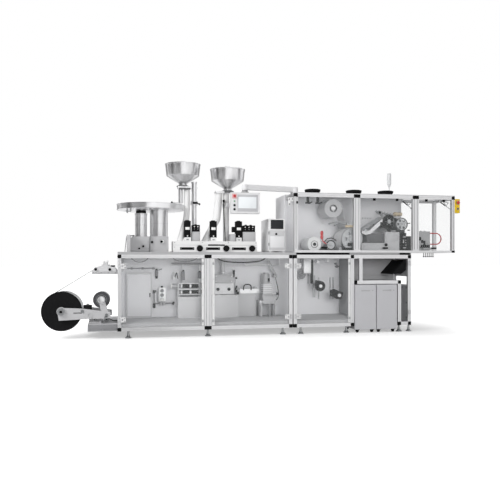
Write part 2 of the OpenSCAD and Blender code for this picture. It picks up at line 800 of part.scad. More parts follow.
module feeder_motors() {
    color([0.05, 0.05, 0.06]) {
        for (x = [709, 1006, 1302]) motor(x);
        block([1262, 150, brush_top + 110], [1302, 200, brush_top + 172]);
        block([802, 130, brush_top + 110], [886, 280, brush_top + 188]);
        block([1388, 130, brush_top + 112], [1529, 280, brush_top + 188]);
        translate([drive_x, drive_y, pan_z - 42]) cylinder(r = 58, h = 36);
        rod_y(pole_ax, table_z + 582, 9, 340, 357.5);
        translate([pole_ax - 22, 334, table_z + 570]) cube([60, 10, 24]);
        block([338, 140, table_z + 100], [360, 150, table_z + 126]);
        rod_y(454, table_z + 118, 14, 128, 150);
    }
}

module inspection_cabinet() {
    color([0.78, 0.79, 0.80]) {
        difference() {
            block([cab_x, 40, table_z + 14], [cab_x + cab_w, 435, table_z + 14 + cabinet_h]);
            block([cab_x + 14, 39, table_z + cabinet_h - 92], [cab_x + cab_w - 14, 46, table_z + cabinet_h]);
            block([cab_x - 1, 39, table_z + cabinet_h - 106],
                [cab_x + cab_w + 1, 43, table_z + cabinet_h - 102]);
        }
        for (x = [cab_x + 12, cab_x + cab_w - 37], y = [44, 395])
            block([x, y, table_z], [x + 25, y + 16, table_z + 15]);
    }
}

// Angle and length of the boom in plan, from its pivot to the panel's axis
boom_v = [hmi_x - boom_pivot[0], hmi_y - boom_pivot[1]];
boom_a = atan2(boom_v[1], boom_v[0]);

module panel_boom() {
    color([0.80, 0.81, 0.82]) {
        difference() {
            translate([0, 0, boom_z]) linear_extrude(boom_h) {
                translate(boom_pivot) rotate(boom_a) translate([0, -30]) square([norm(boom_v), 60]);
                translate(boom_pivot) circle(r = 42);
                translate([hmi_x, hmi_y]) circle(r = 36);
            }
            translate([boom_pivot[0], boom_pivot[1], boom_z - 1]) cylinder(r = 14 + run_c, h = boom_h - 8);
            translate([hmi_x, hmi_y, boom_z - 1]) cylinder(r = 16 + run_c, h = boom_h - 8);
        }
    }
}

module operator_panel() {
    color([0.86, 0.87, 0.88]) {
        difference() {
            union() {
                block([hmi_x - hmi_w / 2, hmi_y - hmi_t / 2, hmi_z - hmi_h],
                    [hmi_x + hmi_w / 2, hmi_y + hmi_t / 2, hmi_z]);
                translate([hmi_x, hmi_y, hmi_z - 1]) cylinder(r = 30, h = boom_z - hmi_z + 0.5);
                translate([hmi_x, hmi_y, hmi_z]) cylinder(r = 16, h = boom_z - hmi_z + boom_h - 14);
            }
            block([hmi_x - hmi_w * 0.28, hmi_y - hmi_t / 2 - 1, hmi_z - hmi_h + 20],
                [hmi_x + hmi_w / 2 - 20, hmi_y - hmi_t / 2 + 5, hmi_z - 26]);
        }
    }
}

module rear_cabinet() {
    color([0.82, 0.83, 0.84]) {
        difference() {
            block([guard_x0 - 10, wall_y, table_z], [rear_end, back_y, cabinet_top]);
            for (i = [1 : 2])
                block([guard_x0 + (guard_x2 - guard_x0) * i / 3 - 3, back_y - 3, table_z + 20],
                    [guard_x0 + (guard_x2 - guard_x0) * i / 3 + 3, back_y + 1, cabinet_top - 20]);
            for (k = [0 : 5])
                block([guard_x0 + 150, back_y - 6, table_z + 480 + 24 * k],
                    [guard_x0 + 390, back_y + 1, table_z + 488 + 24 * k]);
        }
    }
}

module guard_panes() {
    color([0.85, 0.88, 0.90]) {
        block([guard_x0 + profile, 17, sill_z], [guard_x1, 17 + pane_t, guard_z - profile]);
        block([guard_x1 + 2 * profile, 17, sill_z], [guard_x2, 17 + pane_t, guard_z - profile]);
        block([guard_x2 + 2 * profile, 17, sill_z], [guard_x3, 17 + pane_t, guard_z - profile]);
        block([guard_x0 + 17, profile, sill_z], [guard_x0 + 17 + pane_t, wall_y, guard_z - profile]);
        block([guard_x3 + 17, profile, sill_z], [guard_x3 + 17 + pane_t, cage_y, guard_z - profile]);
        block([rear_end, cage_y + 17, sill_z], [guard_x3, cage_y + 17 + pane_t, guard_z - profile]);
    }
}

module guard_roof() {
    color([0.82, 0.83, 0.84]) {
        block([guard_x0, 0, guard_z], [guard_end, wall_y, roof_z]);
        translate([boom_pivot[0], boom_pivot[1], roof_z - 1]) cylinder(r = 46, h = 16);
        translate([boom_pivot[0], boom_pivot[1], roof_z]) cylinder(r = 14, h = 15 + boom_h - 14);
    }
}

module roof_vents() {
    color([0.05, 0.05, 0.06]) {
        for (x = [guard_x0 + 279, guard_x1 + 74, guard_x2 - 262])
            translate([x, 200, roof_z]) {
                cylinder(r = 78, h = 32);
                translate([0, 0, 30]) cylinder(r1 = 90, r2 = 96, h = 26);
            }
    }
}

module signal_lamp() {
    color([0.88, 0.89, 0.90]) {
        translate([guard_x2 - 167, 300, roof_z]) {
            cylinder(r = 20, h = 8);
            cylinder(r = 7, h = 127);
            translate([0, 0, 123]) cylinder(r1 = 10, r2 = 25, h = 44);
            translate([0, 0, 167]) cylinder(r = 25, h = 124);
            translate([0, 0, 291]) cylinder(r1 = 25, r2 = 19, h = 6);
        }
    }
}

// Web roll on a shaft that turns in the mounting wall
module roll(c, core) {
    difference() {
        rod_y(c[0], c[1], c[2], web_y, web_y + film_w);
        rod_y(c[0], c[1], core, web_y - 1, web_y + 40);
    }
    rod_y(c[0], c[1], core * 0.55, web_y - 10, web_y + 45);
    rod_y(c[0], c[1], 20, web_y + film_w - 1, wall_y - 0.5);
}

module foil_roll() {
    color([0.83, 0.84, 0.85]) roll(foil_c, 40);
}

module lid_roll() {
    color([0.93, 0.93, 0.92]) roll(lid_c, 38);
}

module sealing_drum() {
    color([0.62, 0.63, 0.64]) {
        difference() {
            rod_y(drum_x, drum_z, drum_r, web_y - 4, web_y + film_w + 4);
            for (a = [0 : 360 / pocket_n : 359], y = [0 : 2])
                translate([drum_x, web_y + 48 + y * 87, drum_z]) rotate([0, a, 0])
                    translate([-14, -32, drum_r - 5]) cube([28, 64, 12]);
            for (a = [0 : 60 : 300])
                rod_y(drum_x + 78 * cos(a), drum_z + 78 * sin(a), 20, web_y - 5, web_y + 24);
        }
        rod_y(drum_x, drum_z, 34, web_y - 16, wall_y);
    }
}

module press_housings() {
    color([0.76, 0.77, 0.78]) {
        block([drum_x + 112, web_y - 17, table_z], [drum_x + 418, web_y - 5, table_z + 114]);
        block([drum_x + 232, web_y - 6, table_z], [drum_x + 418, 330, table_z + 114]);
        block([drum_x + 418, web_y - 15, table_z], [drum_x + 598, 330, table_z + 248]);
        block([drum_x + 200, 90, table_z + 113], [drum_x + 419, 330, table_z + 236]);
        block([suction_x, 150, sill_z + 10], [suction_x + 167, 300, sill_z + 240]);
        block([suction_x + 14, 150, sill_z], [suction_x + 154, cage_y + 16, sill_z + 10]);
        block([suction_x + 64, 130, sill_z + 14], [suction_x + 214, 150, sill_z + 40]);
        for (i = [0 : 5]) translate([suction_x + 76 + i * 25, 140, sill_z - 78]) cylinder(r = 6, h = 93);
    }
}

module die_set() {
    color([0.06, 0.06, 0.07]) {
        x0 = drum_x + 608;
        block([x0, 80, table_z], [x0 + 156, 330, table_z + 45]);
        block([x0, 80, table_z + 200], [x0 + 90, 330, table_z + 238]);
        block([x0 + 20, 110, table_z + 120], [x0 + 80, 300, table_z + 201]);
        block([x0 + 10, 100, table_z + 44], [x0 + 146, 310, table_z + 80]);
        for (x = [x0 + 18, x0 + 72], y = [98, 312])
            translate([x, y, table_z + 44]) cylinder(r = 9, h = 158);
        block([x0 + 110, 80, table_z + 44], [x0 + 156, 330, table_z + 200]);
        plate_y(web_y - 15, web_y - 7) difference() {
            union() {
                translate([index_drum[0], index_drum[1]]) circle(r = index_drum[2] + 14);
                translate([index_drum[0] - 113, table_z + 305]) square([170, 60]);
                translate([index_drum[0] - 20, table_z + 248]) square([40, 60]);
            }
            translate([index_drum[0] + 57, table_z + 200]) square([80, 400]);
        }
    }
}

// Looped hose between two points of the suction block
module air_hose() {
    color([0.65, 0.10, 0.10]) {
        x0 = suction_x + 167;
        z0 = sill_z + 84;
        run = 122;
        r = 68;
        for (z = [z0, z0 + 2 * r])
            translate([x0, 225, z]) rotate([0, 90, 0]) cylinder(r = 7, h = run);
        translate([x0 + run, 225, z0 + r]) rotate([90, 0, 0]) rotate([0, 0, -90]) rotate_extrude(angle = 180)
            translate([r, 0]) circle(r = 7);
    }
}

module stop_station() {
    color([0.92, 0.75, 0.10]) {
        block([guard_end, -6, guard_z - 200], [guard_end + 63, 56, guard_z - 30]);
        rod_y(guard_end + 34, guard_z - 75, 20, -22, -14);
        rod_y(guard_end + 34, guard_z - 75, 12, -15, -6);
        rod_y(guard_end + 34, guard_z - 150, 11, -14, -6);
    }
}

module outfeed_chute() {
    color([0.05, 0.05, 0.06]) {
        low = [base_len - 219, outlet_z1 + 34];
        top = [base_len - 64, frame_z1 - 57];
        plate_y(profile + 4, wall_y) polygon([low, top, [top[0] + 5, top[1] - 4], [low[0] + 5, low[1] - 4]]);
        plate_y(profile + 4, profile + 8) polygon(concat([low, top, [base_len - profile - 4, top[1]]],
            [for (a = [0 : 10 : 90]) [base_len - profile - 84 + 80 * cos(a), low[1] + 80 - 80 * sin(a)]]));
    }
}

// Collecting trolley with a raised front panel and a slot handle
module trolley(x) {
    difference() {
        union() {
            block([x, trolley_y + 4, caster_h], [x + trolley_w, wall_y - 12, caster_h + trolley_h]);
            block([x + 3, trolley_y, caster_h + 4],
                [x + trolley_w - 3, trolley_y + 5, caster_h + trolley_h - 3]);
        }
        block([x + 74, trolley_y - 1, caster_h + trolley_h - 76],
            [x + trolley_w - 74, trolley_y + 26, caster_h + trolley_h - 60]);
    }
}

module trolleys() {
    color([0.66, 0.67, 0.68]) {
        trolley(trolley_x);
        trolley(trolley_x + trolley_w + 8);
    }
}

// Caster with plate, fork and wheel
module caster(x, y) {
    r = caster_h * 0.42;
    translate([x, y, 0]) {
        translate([-24, -24, caster_h - 6]) cube([48, 48, 6]);
        for (s = [-1, 1]) translate([s * 15 - 2, -14, r]) cube([4, 28, caster_h - r - 5]);
        translate([-11, 0, r]) rotate([0, 90, 0]) cylinder(r = r, h = 22);
        translate([-17, 0, r]) rotate([0, 90, 0]) cylinder(r = 6, h = 34);
    }
}

module trolley_casters() {
    color([0.06, 0.06, 0.07]) {
        for (i = [0, 1], x = [38, trolley_w - 38], y = [trolley_y + 44, wall_y - 60])
            caster(trolley_x + i * (trolley_w + 8) + x, y);
    }
}

dancer_a = [bay3_x + 326, frame_z0 + 469];
dancer_b = [bay3_x + 560, frame_z0 + 357];

module dancer_arms() {
    color([0.05, 0.05, 0.06]) {
        plate_y(140, 165) translate(dancer_a) {
            circle(r = 62);
            rotate(82) square([62, 62]);
        }
        plate_y(140, 165) translate(dancer_b)
            polygon([[-106, 55], [-65, 78], [-24, 60], [54, 37], [30, -46], [-24, -45], [-102, -5]]);
    }
}

module dancer_guides() {
    color([0.74, 0.75, 0.76]) {
        rod_y(dancer_a[0], dancer_a[1], 24, 165, wall_y - 14);
        rod_y(dancer_a[0], dancer_a[1], 20, 124, 140);
        rod_y(dancer_b[0], dancer_b[1], 24, 165, wall_y - 14);
        rod_y(dancer_b[0], dancer_b[1], 22, 124, 140);
        for (x = [dancer_a[0] + 54, dancer_b[0] - 33, dancer_b[0] + 6])
            block([x, wall_y - 14, dancer_b[1] - 60], [x + 13, wall_y, dancer_b[1] + 206]);
        block([dancer_a[0] - 14, wall_y - 14, dancer_a[1] - 150],
            [dancer_a[0] + 14, wall_y, dancer_a[1] + 120]);
    }
}

module drive_cabinets() {
    color([0.72, 0.73, 0.74]) {
        block([60, 340, tray_z], [350, wall_y, tray_z + 520]);
        block([643, 200, tray_z], [mid_x - 10, wall_y, tray_z + 243]);
        block([mid_x + 2 * profile + 50, 200, tray_z], [1345, wall_y, tray_z + 260]);
        block([1349, 300, tray_z], [1574, wall_y, tray_z + 262]);
        for (x = [1606, 1770]) block([x, 220, tray_z], [x + 24, wall_y, tray_z + 158]);
        block([1600, 210, tray_z + 158], [1800, wall_y, tray_z + 186]);
    }
}

module drive_units() {
    color([0.70, 0.71, 0.72]) {
        translate([578, 290, tray_z + 366]) rotate([0, 90, 0]) cylinder(r = 26, h = 70);
        for (z = [tray_z + 290, tray_z + 366])
            translate([646, 290, z]) rotate([0, 90, 0]) cylinder(r = 22, h = mid_x - 656);
        block([640, 250, tray_z + 243], [664, 330, tray_z + 400]);
        block([mid_x - 40, 250, tray_z + 243], [mid_x - 16, 330, tray_z + 400]);
        block([1064, 230, tray_z + 396], [1288, wall_y, tray_z + 497]);
        block([1090, 250, tray_z + 260], [1130, 330, tray_z + 396]);
        block([1220, 250, tray_z + 260], [1260, 330, tray_z + 396]);
        translate([1345, 330, tray_z + 300]) rotate([0, 90, 0]) cylinder(r = 28, h = 255);
        block([1345, 310, tray_z + 262], [1375, wall_y, tray_z + 345]);
        block([1560, 310, tray_z + 262], [1590, wall_y, tray_z + 345]);
        block([1637, 230, tray_z + 186], [1770, 380, tray_z + 260]);
        block([1650, 240, tray_z + 260], [1756, 370, tray_z + 390]);
        translate([1690, 305, tray_z + 390]) cylinder(r = 50, h = 110);
        block([436, 330, tray_z + 180], [510, wall_y, tray_z + 230]);
        for (x = [455, 491]) translate([x, 352, tray_z + 230]) cylinder(r = 17, h = 60);
        for (x = [455, 491]) translate([x, 352, tray_z + 140]) cylinder(r = 15, h = 40);
        block([bay3_x + 150, 250, rail_z1 - 182], [bay3_x + 246, wall_y, rail_z1]);
        block([bay3_x + 245, 310, rail_z1 - 318], [bay3_x + 296, wall_y, rail_z1]);
        rod_y(bay3_x + 139, frame_z0 + 600, 54, 300, wall_y);
    }
}

placed() frame_posts();
placed() frame_rails();
placed() corner_blocks();
placed() floor_trays();
placed() housing_panels();
placed() table_plate();
placed() levelling_feet();
placed() hinge_plates();
placed() door_left_pane();
placed() door_left_trim();
placed() door_middle_pane();
placed() door_middle_trim();
placed() door_right_pane();
placed() door_right_trim();
placed() unwind_stand();
placed() film_roll();
placed() film_flanges();
placed() splice_reel();
placed() splice_table();
placed() web_rollers();
placed() film_web();
placed() foil_web();
placed() feeder_pan();
placed() feeder_columns();
placed() feeder_housings();
placed() hopper_left();
placed() hopper_right();
placed() hopper_lids();
placed() hopper_stands();
placed() feed_chutes();
placed() brush_feeder();
placed() feeder_knobs();
placed() feeder_motors();
placed() inspection_cabinet();
placed() panel_boom();
placed() operator_panel();
placed() rear_cabinet();
placed() guard_panes();
placed() guard_roof();
placed() roof_vents();
placed() signal_lamp();
placed() foil_roll();
placed() lid_roll();
placed() sealing_drum();
placed() press_housings();
placed() die_set();
placed() air_hose();
placed() stop_station();
placed() outfeed_chute();
placed() trolleys();
placed() trolley_casters();
placed() dancer_arms();
placed() dancer_guides();
placed() drive_cabinets();
placed() drive_units();
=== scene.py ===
"""Finishes, small parts and studio for a blister packing machine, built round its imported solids."""

import math

import bmesh
import bpy
from bpy.props import FloatProperty, FloatVectorProperty, PointerProperty
from mathutils import Matrix, Vector
from mathutils.geometry import interpolate_bezier


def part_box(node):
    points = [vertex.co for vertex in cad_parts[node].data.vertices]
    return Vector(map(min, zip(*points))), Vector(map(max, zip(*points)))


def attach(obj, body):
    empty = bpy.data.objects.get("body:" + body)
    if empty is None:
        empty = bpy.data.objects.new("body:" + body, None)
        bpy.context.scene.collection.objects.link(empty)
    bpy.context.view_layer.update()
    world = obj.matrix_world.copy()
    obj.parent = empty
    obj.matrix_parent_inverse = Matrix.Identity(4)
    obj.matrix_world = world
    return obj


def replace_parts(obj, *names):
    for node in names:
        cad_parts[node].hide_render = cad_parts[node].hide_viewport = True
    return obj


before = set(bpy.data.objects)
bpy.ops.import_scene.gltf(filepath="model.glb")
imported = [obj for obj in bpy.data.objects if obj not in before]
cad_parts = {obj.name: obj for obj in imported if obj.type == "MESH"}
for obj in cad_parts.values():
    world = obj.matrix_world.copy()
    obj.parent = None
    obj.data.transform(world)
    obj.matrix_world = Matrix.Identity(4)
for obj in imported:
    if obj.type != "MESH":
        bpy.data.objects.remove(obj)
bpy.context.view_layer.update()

bl_info = {
    "name": "Blister Packing Machine",
    "version": (1, 0, 0),
    "blender": (4, 5, 0),
    "location": "View3D > Sidebar > Machine",
    "description": "Finishes, small parts and studio for a blister packing machine",
    "category": "Object",
}

ROOT = "machine"
MM = 0.001
FRONT = Vector((0, -1, 0))
BACK = -FRONT
UP = Vector((0, 0, 1))
RIGHT = Vector((1, 0, 0))

# Places in millimetres: X along the machine, Y from the frame's front face, Z from the floor. Rolls and drums are
# (x, z) pairs, upright axes are (x, y) pairs
POSTS_LOW = Vector(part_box("frame_posts")[0])
BASE_LEFT = -24
WALL_Y = 400
BACK_Y = 880
FRAME_TOP = 915
TABLE_TOP = 945
GUARD_TOP = 1630
CORNER_BLOCKS = (97, 895)
HINGE_SCREWS = (189, 219, 773, 803)
DRUM = (2690, 1105)
INDEX_DRUM = (3155, 1318)
INDEX_WHEEL = (3308, 1287)
FOIL = (2458, 1466)
LID = (2225, 1041)
FILM = (-614, 301)
SPLICE = (-197, 422)
PANEL_AXIS = (1388, 22)
BOOM_AXIS = (2005, 150)
STAND_AXIS = (1228, 400)
LAMP_AXIS = (3270, 300)
HOPPER_LEFT = (716, 450, 1761)
HOPPER_RIGHT = (1246, 400, 1707)

# Edges that turn by less than this look smooth
SMOOTH_ANGLE = math.radians(35)

# A screw head: its sides, and its top, socket rim and socket depth as shares of its radius and height
SCREW_SIDES = 12
SCREW_TOP = 0.9
SOCKET_RIM = 0.45
SOCKET_DEPTH = 0.7

# The floor's glow: full beyond the painted shadow's reach, and less near the machine, which paints a soft shadow round
# it on top of its real shadow. It is also less in mirrors. Sizes in metres
PAINTED_SHADOW_HALF = (1.8, 0.42, 0)
PAINTED_SHADOW_REACH = 1.4
FLOOR_GLOW_IN_PAINTED_SHADOW = 0.4
FLOOR_MIRRORED = 0.42

# The cards and the mat that the bright metal mirrors, in metres
CARD_HALF_HEIGHT = 9
MAT_HALF = (3, 4.5)
MAT_HEIGHT = 0.01

# The finishes made so far, by name
FINISHES = {}


def place(x, y, z):
    """Turns one of the machine's places, in millimetres, into metres of the shared frame."""
    return Vector((POSTS_LOW.x + (x - BASE_LEFT) * MM, POSTS_LOW.y + y * MM, z * MM))


def smooth_line(points, steps=6):
    """Points along a smooth line through the given points, in millimetres."""
    knots = [Vector(p) for p in points]
    tangents = [(b - a) / 2 for a, b in zip([knots[0]] + knots, knots[1:] + [knots[-1]])]
    line = [knots[0]]
    for i in range(len(knots) - 1):
        line += interpolate_bezier(knots[i], knots[i] + tangents[i] / 3, knots[i + 1] - tangents[i + 1] / 3,
                                   knots[i + 1], steps + 1)[1:]
    return line


def arc_line(centre, radius, start, end, steps, y):
    """Points of an arc in the XZ plane, from start to end degrees."""
    angles = [math.radians(start + (end - start) * i / steps) for i in range(steps + 1)]
    return [(centre[0] + radius * math.cos(a), y, centre[1] + radius * math.sin(a)) for a in angles]


def grid(xs, y, zs):
    """Spots on a plane across Y, at every x with every z."""
    return [(x, y, z) for x in xs for z in zs]


def circle(x, y, z, radius, count, shift=0):
    """Spots round a centre on a plane across Y."""
    angles = [(i + shift) * math.tau / count for i in range(count)]
    return [(x + radius * math.cos(a), y, z + radius * math.sin(a)) for a in angles]


class Shape:
    """A piece under construction. Its methods take millimetres of the machine's own places."""

    def __init__(self):
        self.bm = bmesh.new()

    def paint(self, verts, material):
        """Gives every face round the vertices one material slot."""
        for face in {f for v in verts for f in v.link_faces}:
            face.material_index = material

    def box(self, low, high, bevel=1.5, material=0):
        """Adds a box with rounded edges."""
        low, high = place(*low), place(*high)
        verts = bmesh.ops.create_cube(self.bm, size=1)["verts"]
        bmesh.ops.scale(self.bm, vec=high - low, verts=verts)
        bmesh.ops.translate(self.bm, vec=(low + high) / 2, verts=verts)
        self.paint(verts, material)
        if bevel:
            edges = list({e for v in verts for e in v.link_edges})
            bmesh.ops.bevel(self.bm, geom=edges, offset=bevel * MM, offset_type="OFFSET", affect="EDGES",
                            segments=2, profile=0.5, material=-1)

    def rod(self, start, end, radius, material=0, tip=None, segments=20):
        """Adds a round bar between two points, or a cone where the tip has a radius of its own."""
        start, end = place(*start), place(*end)
        run = end - start
        turn = run.to_track_quat("Z", "Y").to_matrix().to_4x4()
        verts = bmesh.ops.create_cone(
            self.bm, cap_ends=True, cap_tris=False, segments=segments, radius1=radius * MM,
            radius2=(radius if tip is None else tip) * MM, depth=run.length,
            matrix=Matrix.Translation((start + end) / 2) @ turn)["verts"]
        self.paint(verts, material)

    def post(self, x, y, low, high, radius, material=0, tip=None, segments=20):
        """Adds an upright round bar."""
        self.rod((x, y, low), (x, y, high), radius, material, tip, segments)

    def bar(self, y, z, left, right, radius, material=0, tip=None, segments=20):
        """Adds a round bar along X."""
        self.rod((left, y, z), (right, y, z), radius, material, tip, segments)

    def pin(self, x, z, radius, y0, y1, material=0, segments=20):
        """Adds a round bar along Y, from its back end y1 to its front end y0."""
        self.rod((x, y1, z), (x, y0, z), radius, material, segments=segments)

    def ball(self, centre, radius, material=0):
        """Adds a round knob."""
        verts = bmesh.ops.create_uvsphere(self.bm, u_segments=16, v_segments=10, radius=radius * MM,
                                          matrix=Matrix.Translation(place(*centre)))["verts"]
        self.paint(verts, material)

    def lathe(self, centre, axis, outline, material=0, segments=48):
        """Adds a turned shape of (radius, distance along the axis) pairs, closed or ending on the axis."""
        centre = place(*centre)
        axis = Vector(axis).normalized()
        side = axis.orthogonal().normalized()
        before = set(self.bm.faces)
        verts = [self.bm.verts.new(centre + side * r * MM + axis * h * MM) for r, h in outline]
        pairs = list(zip(verts, verts[1:]))
        if outline[0][0] > 0:
            pairs.append((verts[-1], verts[0]))
        edges = [self.bm.edges.new(pair) for pair in pairs]
        bmesh.ops.spin(self.bm, geom=verts + edges, cent=centre, axis=axis, angle=math.tau,
                       steps=segments, use_merge=True)
        faces = [f for f in self.bm.faces if f not in before]
        bmesh.ops.remove_doubles(self.bm, verts=list({v for f in faces for v in f.verts}), dist=1e-6)
        faces = [f for f in self.bm.faces if f not in before]
        bmesh.ops.recalc_face_normals(self.bm, faces=faces)
        for face in faces:
            face.material_index = material

    def ring(self, centre, axis, outer, inner, depth, material=0, segments=32):
        """Adds a flat ring that starts at the centre and grows along the axis."""
        self.lathe(centre, axis, [(outer, 0), (outer, depth), (inner, depth), (inner, 0)], material, segments)

    def plate(self, outline, y0, y1, bevel=0.8, material=0):
        """Adds a plate with an outline of (x, z) corners, from y0 in front to y1 behind."""
        verts = [self.bm.verts.new(place(x, y1, z)) for x, z in outline]
        face = self.bm.faces.new(verts)
        grown = bmesh.ops.extrude_face_region(self.bm, geom=[face])["geom"]
        far = [g for g in grown if isinstance(g, bmesh.types.BMVert)]
        bmesh.ops.translate(self.bm, vec=place(0, y0, 0) - place(0, y1, 0), verts=far)
        faces = list({f for v in verts + far for f in v.link_faces})
        bmesh.ops.recalc_face_normals(self.bm, faces=faces)
        for f in faces:
            f.material_index = material
        if bevel:
            rim = [e for v in far for e in v.link_edges if all(w in far for w in e.verts)]
            bmesh.ops.bevel(self.bm, geom=list(set(rim)), offset=bevel * MM, offset_type="OFFSET", affect="EDGES",
                            segments=1, profile=0.5, material=-1)

    def tube(self, points, radius, material=0, segments=12):
        """Adds a round tube through the points, with both ends closed."""
        line = [place(*p) for p in points]
        runs = [(b - a).normalized() for a, b in zip(line, line[1:])]
        aims = [runs[0]] + [(a + b).normalized() for a, b in zip(runs, runs[1:])] + [runs[-1]]
        turn = aims[0].to_track_quat("Z", "Y").to_matrix().to_4x4()
        loop = bmesh.ops.create_circle(self.bm, cap_ends=True, segments=segments, radius=radius * MM,
                                       matrix=Matrix.Translation(line[0]) @ turn)["verts"]
        current = loop[0].link_faces[0]
        faces = [current]
        for i in range(1, len(line)):
            grown = bmesh.ops.extrude_face_region(self.bm, geom=[current])["geom"]
            verts = [g for g in grown if isinstance(g, bmesh.types.BMVert)]
            bend = aims[i - 1].rotation_difference(aims[i]).to_matrix()
            bmesh.ops.rotate(self.bm, cent=line[i - 1], matrix=bend, verts=verts)
            bmesh.ops.translate(self.bm, vec=line[i] - line[i - 1], verts=verts)
            current = next(g for g in grown if isinstance(g, bmesh.types.BMFace))
            faces += [f for v in verts for f in v.link_faces]
        whole = list({f for f in faces if f.is_valid})
        bmesh.ops.recalc_face_normals(self.bm, faces=whole)
        for face in whole:
            face.material_index = material

    def screw(self, spot, radius=6, axis=FRONT, height=3, material=0):
        """Adds a socket-head screw that stands on the spot."""
        low = Vector(spot)
        high = low + Vector(axis) * height
        before = set(self.bm.faces)
        self.rod(low, high, radius, material, radius * SCREW_TOP, SCREW_SIDES)
        top = max((f for f in self.bm.faces if f not in before and len(f.verts) == SCREW_SIDES),
                  key=lambda f: f.calc_center_median().dot(Vector(axis)))
        bmesh.ops.inset_region(self.bm, faces=[top], thickness=radius * SOCKET_RIM * MM)
        bmesh.ops.translate(self.bm, vec=-Vector(axis) * height * SOCKET_DEPTH * MM, verts=top.verts)

    def screws(self, spots, radius=6, axis=FRONT, height=3, material=0):
        """Adds a screw at each spot."""
        for spot in spots:
            self.screw(spot, radius, axis, height, material)

    def knob(self, x, z, radius, y0, y1, material=0):
        """Adds a turned grip on a neck, from its front y0 back to y1."""
        depth = y1 - y0
        self.lathe((x, y1, z), FRONT, [(0, 0), (radius * 0.5, 0), (radius * 0.5, depth * 0.4),
                   (radius, depth * 0.5), (radius, depth * 0.9), (radius * 0.85, depth), (0, depth)], material, 24)

    def done(self, name, materials, body=ROOT):
        """Makes the finished piece, which rides on a body and takes its finish from a slot."""
        for face in self.bm.faces:
            face.smooth = True
        for edge in self.bm.edges:
            edge.smooth = len(edge.link_faces) == 2 and edge.calc_face_angle(0) < SMOOTH_ANGLE
        mesh = bpy.data.meshes.new(name)
        self.bm.to_mesh(mesh)
        self.bm.free()
        for material in materials.split():
            mesh.materials.append(FINISHES[material])
        obj = bpy.data.objects.new(name, mesh)
        bpy.context.scene.collection.objects.link(obj)
        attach(obj, body)
        return obj


def add_cord(name, line, diameter, material):
    """Makes a hose or cable along a line in millimetres, with both ends in the machine."""
    shape = Shape()
    shape.tube(line, diameter / 2)
    obj = shape.done(name, material)
    return obj


# Finishes

def add_node(tree, kind, inputs=None, **settings):
    """Adds a shader node with its settings and the values of its inputs."""
    node = tree.nodes.new("ShaderNode" + kind)
    for name, value in settings.items():
        setattr(node, name, value)
    for name, value in (inputs or {}).items():
        node.inputs[name].default_value = value
    return node


def finish(name, colour, roughness, metallic=0, tone=0.05, grain=160, stretch=(1, 1, 1), relief=0.05,
           spread=0.05, brushed=0, **sockets):
    """Makes a finish whose tone drifts slowly, and whose roughness and relief follow a fine grain."""
    material = bpy.data.materials.new(name)
    material.use_nodes = True
    tree = material.node_tree
    link = tree.links.new
    bsdf = tree.nodes["Principled BSDF"]
    bsdf.inputs["Metallic"].default_value = metallic
    for socket, value in sockets.items():
        bsdf.inputs[socket.replace("_", " ").title().replace("Ior", "IOR")].default_value = value
    coords = add_node(tree, "TexCoord")
    mapping = add_node(tree, "Mapping", {"Scale": stretch})
    link(coords.outputs["Object"], mapping.inputs["Vector"])
    broad = add_node(tree, "TexNoise", {"Scale": 3, "Detail": 2})
    link(coords.outputs["Object"], broad.inputs["Vector"])
    fine = add_node(tree, "TexNoise", {"Scale": grain, "Detail": 3})
    link(mapping.outputs["Vector"], fine.inputs["Vector"])
    low = (*[c * (1 - tone) for c in colour], 1)
    high = (*[min(1, c * (1 + tone)) for c in colour], 1)
    mix = add_node(tree, "Mix", data_type="RGBA")
    mix.inputs["A"].default_value = low
    mix.inputs["B"].default_value = high
    link(broad.outputs["Fac"], mix.inputs["Factor"])
    link(mix.outputs["Result"], bsdf.inputs["Base Color"])
    gloss = add_node(tree, "MapRange", {"From Min": 0.3, "From Max": 0.7, "To Min": max(0.02, roughness - spread),
                                        "To Max": roughness + spread})
    link(fine.outputs["Fac"], gloss.inputs["Value"])
    link(gloss.outputs["Result"], bsdf.inputs["Roughness"])
    bump = add_node(tree, "Bump", {"Strength": relief, "Distance": 0.0005})
    link(fine.outputs["Fac"], bump.inputs["Height"])
    link(bump.outputs["Normal"], bsdf.inputs["Normal"])
    if brushed:
        bsdf.inputs["Anisotropic"].default_value = brushed
        upright = add_node(tree, "CombineXYZ", {"X": 0.02, "Y": 0.03, "Z": 1})
        link(upright.outputs["Vector"], bsdf.inputs["Tangent"])
    FINISHES[name] = material
    return material


